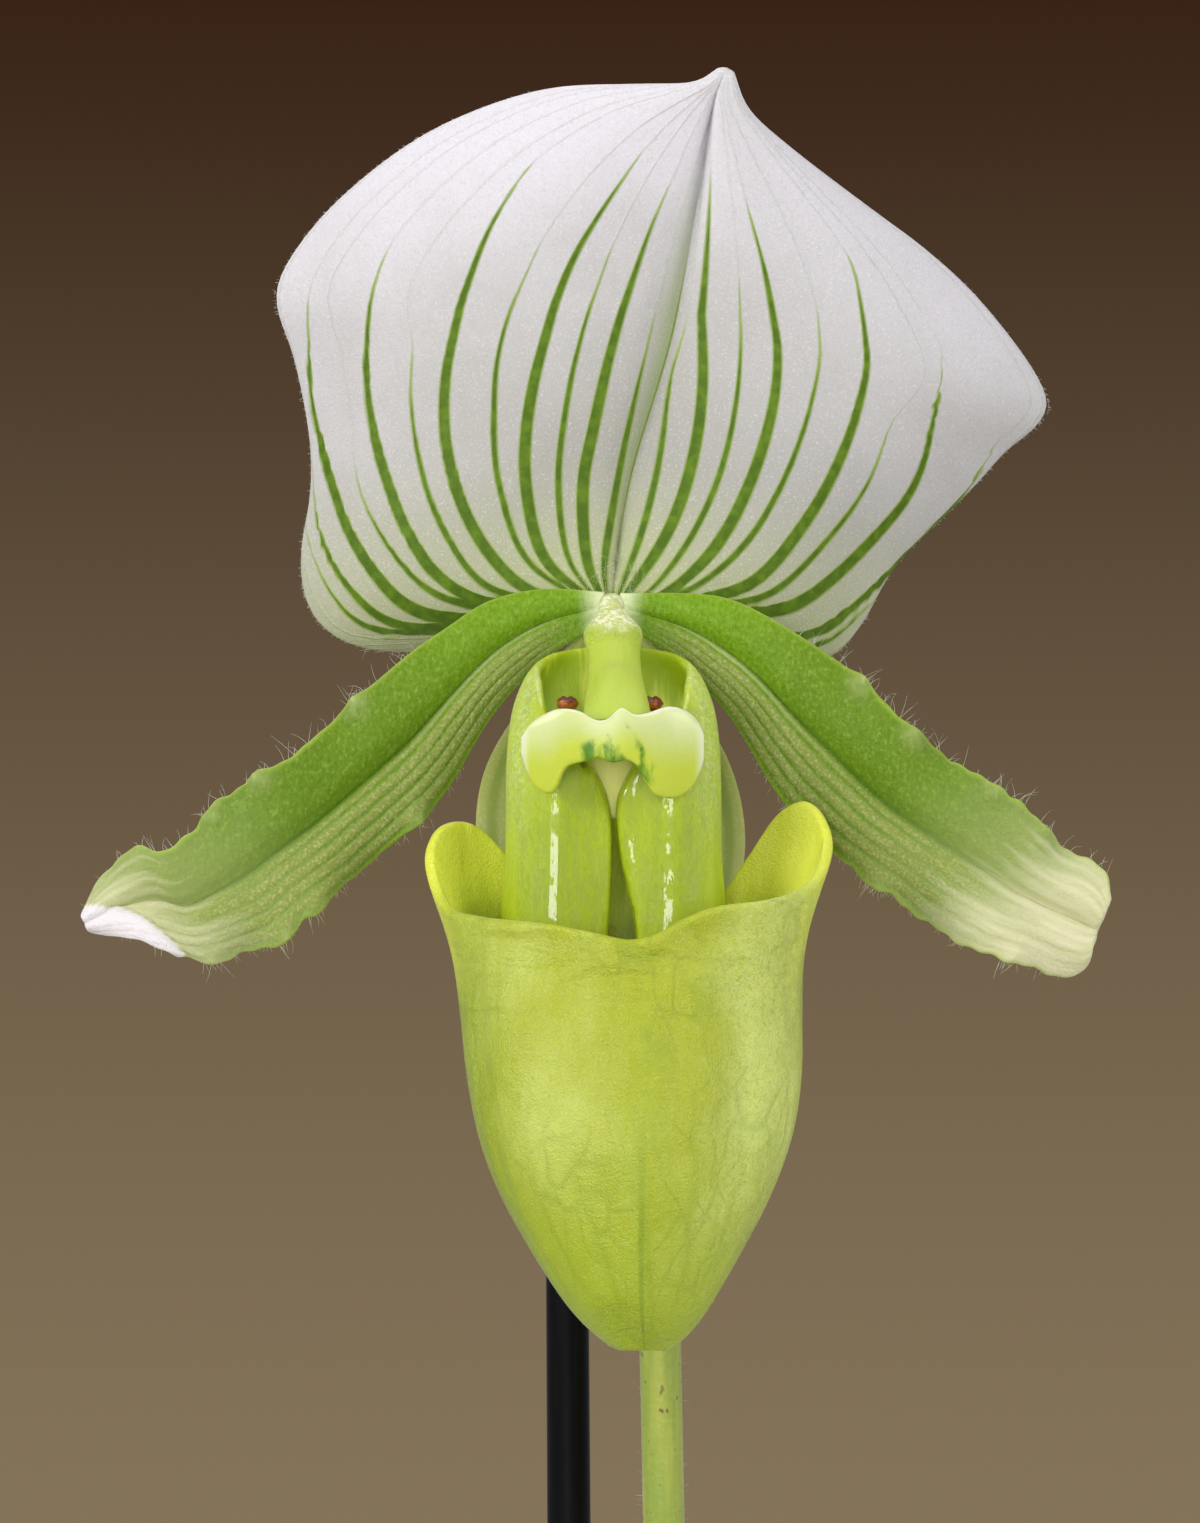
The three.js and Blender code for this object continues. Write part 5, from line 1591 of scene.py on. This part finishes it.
def make_column(sizes, colours):
    route = curve_through([(-0.1, -0.9, 0.4), (0, -3.4, -1.6), (0.2, -8, -6), (0.45, -13.4, -11.2)])
    across = track([(0, 1.1), (0.11, 1.2), (0.18, 1.6), (0.25, 2.5), (0.32, 2.65), (0.42, 2.35),
                    (0.6, 2.4), (0.85, 2.9), (1, 3.1)])
    upright = track([(0, 1), (0.3, 1.4), (0.7, 1.8), (0.92, 1.6), (1, 1.1)])
    bm = limb_grid(route, lambda share, angle: (across(share), upright(share)), 32, 30,
                   HEART, pattern=lambda u, v: (u, v, 0))
    layer = bm.verts.layers.float_vector["pattern"]
    tongue = Matrix.Translation((HEART + Vector((0.25, -9.6, -12.3))) * MM)
    made = bmesh.ops.create_uvsphere(bm, u_segments=28, v_segments=18, radius=MM, matrix=tongue)
    bmesh.ops.scale(bm, verts=made["verts"], vec=(3.0, 1.1, 6.9), space=tongue.inverted())
    for vert in made["verts"]:
        vert[layer] = (0, 0.5, 1)
    refine(finish_piece("column_stalk", bm, [column_finish(colours)], ["column"], "column_green"))
    sheet_piece("staminode_shield", shield_surface(), 84, 22, SHIELD_THICKNESS,
                [shield_finish(colours)], ["staminode"], "shield_pale", origin=HEART,
                pattern=shield_pattern, thin=0.6)
    brown = anther_finish(colours)
    for side, x in (("left", -3.95), ("right", 3.5)):
        bm = bmesh.new()
        layer = bm.verts.layers.float_vector.new("pattern")
        centre = Matrix.Translation((HEART + Vector((x, -10.2, -9.0))) * MM)
        verts = bmesh.ops.create_icosphere(bm, subdivisions=4, radius=MM, matrix=centre)["verts"]
        for vert in verts:
            local = centre.inverted() @ vert.co / MM
            cleft = 0.25 * bump(local.x, 0.22) * max(local.z, 0)
            crease = 0.07 * math.sin(9 * local.x + 5 * local.y) * math.cos(7 * local.z)
            vert[layer] = local
            vert.co = centre @ (local * (1 - cleft + crease) * MM)
        bmesh.ops.scale(bm, verts=verts, vec=(0.95, 0.85, 0.7), space=centre.inverted())
        finish_piece(f"pollen_mass_{side}", bm, [brown], [f"anther_{side}"], "anther_brown")


def make_ovary(sizes, colours):
    girth = track([(0, 2), (0.25, 2.5), (0.55, 3.5), (0.8, 3.3), (1, 2.6)])
    ribs = 6

    def radii(share, angle):
        ribbed = 1 + 0.09 * math.cos(ribs * angle) * math.sin(math.pi * share)
        return girth(share) * ribbed, girth(share) * ribbed

    finish = stem_finish("ovary green", OVARY_LIGHT, OVARY_DARK, 0.68)
    bm = limb_grid(ovary_curve(), radii, 48, 40, HEART)
    refine(finish_piece("ovary_ribbed", bm, [finish], ["ovary"], "ovary_green"))


def make_stem(sizes, colours):
    swell = track([(0, 1), (0.42, 1), (0.46, 1.06), (0.5, 1), (0.9, 1), (1, 1)])

    def radii(share, angle):
        ridge = 1 + 0.02 * math.cos(5 * angle + 6 * share)
        return STEM_RADIUS * swell(share) * ridge, STEM_RADIUS * swell(share) * ridge

    finish = stem_finish("stem green", colours.stem, STEM_DARK, 0.66)
    bm = limb_grid(stem_curve(), radii, 24, 90)
    refine(finish_piece("stem_rod", bm, [finish], ["flower_stem"], "stem_green"))
    surface = leaf_shape(BRACT)[0]
    finish = stem_finish("bract green", BRACT_LIGHT, BRACT_DARK, 0.62)
    stem_top = Vector(STEM_ROUTE[-1])
    sheet_piece("bract_sheath", surface, 22, 26, 0.7, [finish], ["floral_bract"], "bract_green",
                origin=Vector((stem_top.x, stem_top.y, 0)), turn=math.radians(75))


def make_stake(sizes, colours):
    length = (STAKE_TOP - STAKE_FOOT).length
    girth = track([(0, 0.7), (8 / length, STAKE_RADIUS), (1 - 1.2 / length, STAKE_RADIUS),
                   (1 - 0.3 / length, STAKE_RADIUS - 0.4), (1, STAKE_RADIUS - 1)])
    bm = limb_grid(measured([stake_line(0), stake_line(1)]), lambda share, angle: (girth(share),) * 2,
                   40, 120)
    finish_piece("stake_rod", bm, [stake_finish(colours)], ["stake"], "stake_black")


def make_clip(sizes, colours):
    level = (CLIP_BASE - STAKE_FOOT.z) / (STAKE_TOP.z - STAKE_FOOT.z)
    stem_share = 0.945
    hole = STEM_RADIUS + SEAT_GAP + 0.1
    wall = 1.2
    strap, bores = bmesh.new(), bmesh.new()
    for at in (stake_line(level), stem_curve()(stem_share)):
        centre = (at.x, at.y, CLIP_BASE + CLIP_HEIGHT / 2)
        add_cylinder(strap, hole + wall, CLIP_HEIGHT, 64, centre)
        add_cylinder(bores, hole, CLIP_HEIGHT * 2, 48, centre)
    hull = bmesh.ops.convex_hull(strap, input=strap.verts)
    inside = {item for key in ("geom_interior", "geom_unused") for item in hull[key]}
    loose = [item for item in inside if isinstance(item, bmesh.types.BMVert)]
    bmesh.ops.delete(strap, geom=loose, context="VERTS")
    mesh = bored("clip_strap", strap, bores)
    ease(finish_mesh("clip_strap", mesh, [clip_finish(colours)], ["stem_clip"], "clip_green"), 0.35)


def make_leaves(sizes, colours):
    young = leaf_finish("young leaf face", YOUNG_PALE, YOUNG_DARK, 300.0)
    grown = leaf_finish("leaf face", colours.leaf_pale, colours.leaf_dark, 235.0)
    young_back = leaf_back_finish("young leaf back", YOUNG_BACK, YOUNG_FLUSH)
    grown_back = leaf_back_finish("leaf back", LEAF_BACK, LEAF_FLUSH)
    fans = (
        ("leaf", "leaf_mottled", MAIN_FAN, fan_leaves(MAIN_LEAVES, 136, 6.5), [grown, grown_back]),
        ("young_leaf", "young_leaf_mottled", YOUNG_FAN, fan_leaves(YOUNG_LEAVES, 118, 7),
         [young, young_back]),
    )
    for node, slot, fan, leaves, finishes in fans:
        for k, leaf in enumerate(leaves):
            surface, pattern = leaf_shape(leaf)
            sheet_piece(f"{node}_blade_{k + 1}", surface, 16, 48, LEAF_THICKNESS, finishes,
                        [f"{node}_{k + 1}"], slot, origin=fan["centre"],
                        turn=math.radians(leaf["azimuth"] + fan["turn"]), pattern=pattern)


def pot_outer_radius(z):
    return lerp(POT_BASE_RADIUS, POT_TOP_RADIUS - 2.5, z / POT_HEIGHT)


def pot_inner_radius(z):
    return pot_outer_radius(z) - POT_WALL


def make_pot(sizes, colours):
    band_height = 24
    band_foot = POT_HEIGHT - band_height
    drain_radius, drain_ring, drains = 5, 22, 3
    shell = turned([
        (0, 0), (POT_BASE_RADIUS, 0), (pot_outer_radius(band_foot), band_foot),
        (POT_TOP_RADIUS, band_foot + 1.2), (POT_TOP_RADIUS, POT_HEIGHT),
        (pot_inner_radius(POT_HEIGHT), POT_HEIGHT), (pot_inner_radius(POT_FLOOR), POT_FLOOR),
        (0, POT_FLOOR),
    ], 160)
    bores = bmesh.new()
    for i in range(drains):
        turn = (i + 0.25) / drains * TAU
        centre = (drain_ring * math.cos(turn), drain_ring * math.sin(turn), POT_FLOOR / 2)
        add_cylinder(bores, drain_radius, 3 * POT_FLOOR, 40, centre)
    mesh = bored("pot_clay", shell, bores)
    ease(finish_mesh("pot_clay", mesh, [clay_finish(colours)], ["pot"], "terracotta"), 1.1)


def make_bark(sizes, colours):
    chance = random.Random(11)
    rim = pot_inner_radius(BARK_TOP) - 0.6
    low = POT_FLOOR + SEAT_GAP
    bm = turned([
        (0, low), (pot_inner_radius(POT_FLOOR) - 0.6, low), (rim, BARK_TOP - 5),
        (rim * 0.6, BARK_TOP - 4), (0, BARK_TOP - 3.5),
    ], 64)
    layer = bm.verts.layers.float_vector.new("pattern")
    holes = [(MAIN_FAN["centre"], 12.8), (YOUNG_FAN["centre"], 7.6), (stake_line(0.18), 2.6)]
    chips = sizes.bark_chips
    for i in range(chips):
        size = Vector((chance.uniform(7, 17), chance.uniform(5, 11), chance.uniform(2.5, 5.5)))
        reach = (rim - 1.5 - size.x * 0.5) * math.sqrt((i + 0.5) / chips)
        turn = i * 2.39996 + 0.3 * chance.random()
        x, y = reach * math.cos(turn), reach * math.sin(turn)
        if any(math.hypot(x - at.x, y - at.y) < room + 0.42 * size.x for at, room in holes):
            continue
        verts = bmesh.ops.create_cube(bm, size=MM)["verts"]
        shade = chance.random()
        for vert in verts:
            ragged = (chance.uniform(0.6, 1.0) for _ in range(3))
            vert.co = Vector(a * b * c for a, b, c in zip(vert.co, size, ragged))
            vert[layer] = (shade, 0, 0)
        edges = list(dict.fromkeys(edge for vert in verts for edge in vert.link_edges))
        cut = bmesh.ops.bevel(bm, geom=edges, offset=0.45 * MM, segments=1, affect="EDGES",
                              profile=0.5, material=-1)
        verts = list(dict.fromkeys(vert for face in cut["faces"] for vert in face.verts))
        tilt = Matrix.Rotation(chance.uniform(-0.5, 0.5), 3, "X")
        pitch = Matrix.Rotation(chance.uniform(-0.5, 0.5), 3, "Y")
        yaw = Matrix.Rotation(chance.uniform(0, TAU), 3, "Z")
        height = BARK_TOP - 3.4 + 3.2 * chance.random()
        bmesh.ops.transform(bm, verts=verts, matrix=(yaw @ pitch @ tilt).to_4x4())
        bmesh.ops.translate(bm, verts=verts, vec=Vector((x, y, height)) * MM)
    finish_piece("bark_bed", bm, [bark_finish(colours)], ["potting_mix"], "bark_mix", smooth=False)


def make_hairs(sizes, colours):
    chance = random.Random(5)
    length = sizes.hair_length / MM
    white = hair_finish("white down", DOWN_WHITE, DOWN_GREY)
    green = hair_finish("stem down", DOWN_TAN, DOWN_BROWN)
    dorsal = dorsal_surface()
    fringe = []
    for edge in (0, 1):
        fringe += margin_hairs(dorsal, edge, (0.02, 0.985), 520, 0.14 * length, chance)
        fringe += margin_hairs(dorsal, edge, (0.01, 0.2), 40, 0.7 * length, chance)
    fringe += face_hairs(dorsal, (0.12, 0.88), (0.01, 0.09), 260, 0.75 * length, chance)
    hair_piece("down_dorsal_sepal", fringe, sizes.hair_width / MM, white, 21)
    for side, petal in PETALS.items():
        surface = petal_surface(petal)
        out = 1 if side == "left" else -1
        bristles = margin_hairs(surface, 1, (0.3, 0.99), 50, 0.8 * length, chance)
        bristles += margin_hairs(surface, 0, (0.3, 0.99), 60, 0.3 * length, chance)
        bristles += face_hairs(surface, (0.05, 0.46), (0.06, 0.9), 700, 0.22 * length, chance, out)
        for edge, at in petal["warts"]:
            spot = clamp(at, 0.03, 0.97)
            bristles += margin_hairs(surface, edge, (spot - 0.02, spot + 0.02), 6, 0.6 * length, chance)
        hair_piece(f"down_petal_{side}", bristles, sizes.hair_width / MM, white, 22)
    slipper = slipper_surface()
    fuzz = face_hairs(slipper, (0.2, 0.8), (0.04, 0.97), 2400, 0.1 * length, chance)
    hair_piece("down_slipper", fuzz, sizes.hair_width / MM, white, 23)
    stalk = []
    stem, ovary = stem_curve(), ovary_curve()
    for curve, origin, radius, count in ((stem, Vector(), 1.9, 900), (ovary, HEART, 2.7, 300)):
        for _ in range(count):
            share = chance.uniform(0.12 if curve is stem else 0.05, 0.97)
            tangent = heading(curve, share)
            spin = Matrix.Rotation(chance.uniform(0, TAU), 3, tangent)
            out = spin @ tangent.orthogonal().normalized()
            root = curve(share) + out * radius + origin
            stalk.append((root, (out + tangent * 0.3).normalized(), 0.32 * length))
    hair_piece("down_stem", stalk, 1.5 * sizes.hair_width / MM, green, 24)


def make_stage():
    """A pale floor, soft light from both sides and the photograph's camera."""
    floor_radius = 1.6
    bm = bmesh.new()
    bmesh.ops.create_circle(bm, cap_ends=True, segments=96, radius=floor_radius)
    mesh = bpy.data.meshes.new("floor")
    bm.to_mesh(mesh)
    bm.free()
    material, graph, shader = new_finish("floor pale", {"Roughness": 0.85})
    place = graph.object_place()
    reach = graph.node("VectorMath", {0: place}, operation="LENGTH").outputs["Value"]
    tone = graph.noise(place, 5.0, 2)
    graph.feed(shader.inputs["Base Color"], graph.mix(tone, FLOOR_DARK, FLOOR_LIGHT))
    graph.feed(shader.inputs["Alpha"], graph.step(reach, 0.45, 1.5, 1.0, 0.0))
    mesh.materials.append(material)
    floor = bpy.data.objects.new("floor", mesh)
    bpy.context.collection.objects.link(floor)
    floor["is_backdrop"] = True

    lamps = {
        "left": ((-0.86, -0.56, 0.72), 0.42, 7.4, (1.0, 0.985, 0.96)),
        "right": ((0.86, -0.52, 0.62), 0.42, 4.8, (1.0, 0.99, 0.97)),
        "front": ((-0.15, -1.35, 0.6), 0.7, 7.0, (1.0, 1.0, 1.0)),
        "above": ((0.05, 0.1, 1.15), 0.8, 2.6, (1.0, 1.0, 1.0)),
        "behind": ((-0.25, 0.75, 0.75), 0.6, 2.5, (1.0, 0.99, 0.97)),
    }
    target = Vector((0, -0.02, 0.36))
    for name, (at, size, power, colour) in lamps.items():
        light = bpy.data.lights.new(f"softbox_{name}", "AREA")
        light.shape = "SQUARE"
        light.size = size
        light.energy = power
        light.color = colour
        lamp = bpy.data.objects.new(light.name, light)
        lamp.location = at
        lamp.rotation_euler = (target - Vector(at)).to_track_quat("-Z", "Y").to_euler()
        lamp.visible_camera = False
        bpy.context.collection.objects.link(lamp)

    world = bpy.data.worlds.new("studio")
    bpy.context.scene.world = world
    world.use_nodes = True
    graph = Graph(world.node_tree)
    backdrop = world.node_tree.nodes["Background"]
    direction = graph.node("TexCoord").outputs["Generated"]
    rise = graph.node("SeparateXYZ", {0: direction}).outputs[2]
    shade = graph.mix(graph.step(rise, -0.2, 0.2), BACKDROP_LOW, BACKDROP_HIGH)
    seen = graph.node("LightPath").outputs["Is Camera Ray"]
    graph.feed(backdrop.inputs["Color"], graph.mix(seen, SKY, shade))

    lens = bpy.data.cameras.new("camera")
    lens.lens = 118.2
    lens.sensor_fit = "VERTICAL"
    lens.sensor_height = 36
    lens.sensor_width = 36
    lens.clip_start = 0.01
    camera = bpy.data.objects.new("camera", lens)
    camera.location = (0, -0.470, 0.3539)
    camera.rotation_euler = (math.radians(90), 0, 0)
    bpy.context.collection.objects.link(camera)
    bpy.context.scene.camera = camera
    bpy.context.scene.view_settings.view_transform = "Standard"


# Settings that a user may change

def tint(name, description, default):
    return FloatVectorProperty(name=name, description=description, default=default,
                               subtype="COLOR", size=3, min=0, max=1)


class OrchidSizes(bpy.types.PropertyGroup):
    hair_length: FloatProperty(
        name="Hair length", description="Length of the longest hairs on the petals' margins",
        default=0.0022, unit="LENGTH", subtype="DISTANCE", min=0.0005, max=0.005, precision=5,
    )
    hair_width: FloatProperty(
        name="Hair width", description="Thickness of a hair at its root",
        default=0.000036, unit="LENGTH", subtype="DISTANCE", min=0.00002, max=0.0003, precision=6,
    )
    bark_chips: IntProperty(
        name="Bark chips", description="How many chips cover the potting mix",
        default=420, min=50, max=900,
    )


class OrchidColours(bpy.types.PropertyGroup):
    sepal_white: tint("Sepal", "White of the dorsal sepal", (0.73, 0.7, 0.76))
    # The greyer foot is partly the tissue's grey and partly painted shade.
    sepal_grey_and_shade: tint("Sepal, grey", "Greyer foot of the dorsal sepal", (0.4, 0.39, 0.35))
    vein_green: tint("Vein", "Bold veins of the sepals", (0.07, 0.14, 0.002))
    vein_light: tint("Vein, light", "Lighter patches of the veins", (0.12, 0.22, 0.006))
    petal_green: tint("Petal", "Bright green of the petals", (0.175, 0.335, 0.005))
    petal_deep: tint("Petal, deep", "Deeper green further out on the petals", (0.135, 0.245, 0.005))
    petal_stripe: tint("Petal stripe", "Down between the petals' veins", (0.48, 0.5, 0.2))
    petal_tip: tint("Petal tip", "Pale ends of the petals", (0.7, 0.67, 0.44))
    lip_green: tint("Lip", "Yellow-green of the slipper", (0.4, 0.45, 0.016))
    lip_light: tint("Lip, light", "Lighter patches of the slipper", (0.54, 0.61, 0.12))
    lip_low: tint("Lip, low", "Slipper near its toe", (0.33, 0.43, 0.006))
    lip_vein: tint("Lip vein", "Veins of the slipper", (0.17, 0.28, 0.003))
    shield_pale: tint("Shield", "Upper part of the staminode", (0.61, 0.68, 0.33))
    shield_low: tint("Shield, low", "Lower part of the staminode", (0.54, 0.62, 0.06))
    column_green: tint("Column", "Column below its top", (0.46, 0.57, 0.06))
    column_top: tint("Column top", "Pale top of the column", (0.9, 0.92, 0.6))
    anther_brown: tint("Anther", "Orange-brown of the anthers", (0.36, 0.1, 0.008))
    anther_rim: tint("Anther rim", "Dark red of the anthers' rims", (0.1, 0.008, 0.003))
    stem: tint("Stem", "Green of the stem", (0.38, 0.43, 0.06))
    leaf_pale: tint("Leaf, pale", "Pale blocks of the leaf mottling", (0.17, 0.25, 0.1))
    leaf_dark: tint("Leaf, dark", "Dark blocks of the leaf mottling", (0.03, 0.075, 0.018))
    stake: tint("Stake", "Coated stake", (0.002, 0.0018, 0.002))
    clip: tint("Clip", "Soft plastic clip", (0.05, 0.13, 0.03))
    bark_light: tint("Bark, light", "Lightest bark chips", (0.3, 0.155, 0.075))
    bark_dark: tint("Bark, dark", "Darkest bark chips", (0.095, 0.045, 0.024))
    clay: tint("Clay", "Fired clay", (0.5, 0.2, 0.09))
    clay_deep: tint("Clay, deep", "Deeper patches of the clay", (0.4, 0.145, 0.062))


# Operators: one for each piece or group of like pieces

class PieceOperator:
    """What every maker's operator shares: it calls its maker with the scene's settings."""
    bl_options = {"REGISTER", "UNDO"}
    maker = None

    def execute(self, context):
        scene = context.scene
        type(self).maker(scene.orchid_sizes, scene.orchid_colours)
        return {"FINISHED"}


class ORCHID_OT_stage(bpy.types.Operator):
    """Add the floor, the lights and the camera"""
    bl_idname = "orchid.add_stage"
    bl_label = "Stage"

    def execute(self, context):
        make_stage()
        return {"FINISHED"}


class ORCHID_OT_dorsal_sepal(PieceOperator, bpy.types.Operator):
    """Add the striped upper sepal"""
    bl_idname = "orchid.add_dorsal_sepal"
    bl_label = "Dorsal sepal"
    maker = staticmethod(make_dorsal_sepal)


class ORCHID_OT_synsepal(PieceOperator, bpy.types.Operator):
    """Add the joined lower sepals"""
    bl_idname = "orchid.add_synsepal"
    bl_label = "Lower sepals"
    maker = staticmethod(make_synsepal)


class ORCHID_OT_petals(PieceOperator, bpy.types.Operator):
    """Add both petals"""
    bl_idname = "orchid.add_petals"
    bl_label = "Petals"
    maker = staticmethod(make_petals)


class ORCHID_OT_lip(PieceOperator, bpy.types.Operator):
    """Add the slipper and its neck"""
    bl_idname = "orchid.add_lip"
    bl_label = "Lip"
    maker = staticmethod(make_lip)


class ORCHID_OT_column(PieceOperator, bpy.types.Operator):
    """Add the column, its shield and the anthers"""
    bl_idname = "orchid.add_column"
    bl_label = "Column"
    maker = staticmethod(make_column)


class ORCHID_OT_ovary(PieceOperator, bpy.types.Operator):
    """Add the ribbed ovary behind the bloom"""
    bl_idname = "orchid.add_ovary"
    bl_label = "Ovary"
    maker = staticmethod(make_ovary)


class ORCHID_OT_stem(PieceOperator, bpy.types.Operator):
    """Add the stem and its bract"""
    bl_idname = "orchid.add_stem"
    bl_label = "Stem"
    maker = staticmethod(make_stem)


class ORCHID_OT_stake(PieceOperator, bpy.types.Operator):
    """Add the stake"""
    bl_idname = "orchid.add_stake"
    bl_label = "Stake"
    maker = staticmethod(make_stake)


class ORCHID_OT_clip(PieceOperator, bpy.types.Operator):
    """Add the clip that holds the stem to the stake"""
    bl_idname = "orchid.add_clip"
    bl_label = "Clip"
    maker = staticmethod(make_clip)


class ORCHID_OT_leaves(PieceOperator, bpy.types.Operator):
    """Add the leaves of both fans"""
    bl_idname = "orchid.add_leaves"
    bl_label = "Leaves"
    maker = staticmethod(make_leaves)


class ORCHID_OT_pot(PieceOperator, bpy.types.Operator):
    """Add the clay pot"""
    bl_idname = "orchid.add_pot"
    bl_label = "Pot"
    maker = staticmethod(make_pot)


class ORCHID_OT_bark(PieceOperator, bpy.types.Operator):
    """Add the bark chips in the pot"""
    bl_idname = "orchid.add_bark"
    bl_label = "Bark"
    maker = staticmethod(make_bark)


class ORCHID_OT_hairs(PieceOperator, bpy.types.Operator):
    """Add the fine hairs of the bloom and the stem"""
    bl_idname = "orchid.add_hairs"
    bl_label = "Hairs"
    maker = staticmethod(make_hairs)


MAKERS = (
    ORCHID_OT_stage, ORCHID_OT_dorsal_sepal, ORCHID_OT_synsepal, ORCHID_OT_petals, ORCHID_OT_lip,
    ORCHID_OT_column, ORCHID_OT_ovary, ORCHID_OT_stem, ORCHID_OT_stake, ORCHID_OT_clip,
    ORCHID_OT_leaves, ORCHID_OT_pot, ORCHID_OT_bark, ORCHID_OT_hairs,
)


class ORCHID_PT_panel(bpy.types.Panel):
    """Lists the makers and their settings"""
    bl_idname = "ORCHID_PT_panel"
    bl_label = "Orchid"
    bl_space_type = "VIEW_3D"
    bl_region_type = "UI"
    bl_category = "Orchid"

    def draw(self, context):
        layout = self.layout
        for settings in (context.scene.orchid_sizes, context.scene.orchid_colours):
            box = layout.box()
            for name in settings.__annotations__:
                box.prop(settings, name)
        for maker in MAKERS:
            layout.operator(maker.bl_idname)


CLASSES = (OrchidSizes, OrchidColours, *MAKERS, ORCHID_PT_panel)


def register():
    for cls in CLASSES:
        bpy.utils.register_class(cls)
    bpy.types.Scene.orchid_sizes = PointerProperty(type=OrchidSizes)
    bpy.types.Scene.orchid_colours = PointerProperty(type=OrchidColours)


def unregister():
    del bpy.types.Scene.orchid_colours
    del bpy.types.Scene.orchid_sizes
    for cls in reversed(CLASSES):
        bpy.utils.unregister_class(cls)


def main():
    register()
    for maker in MAKERS:
        family, name = maker.bl_idname.split(".")
        getattr(getattr(bpy.ops, family), name)()
    boxes = {"cad": CAD_BOX, "visual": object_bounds()}
    {key: [list(corner) for corner in box] for key, box in boxes.items()}


if __name__ == "__main__":
    main()
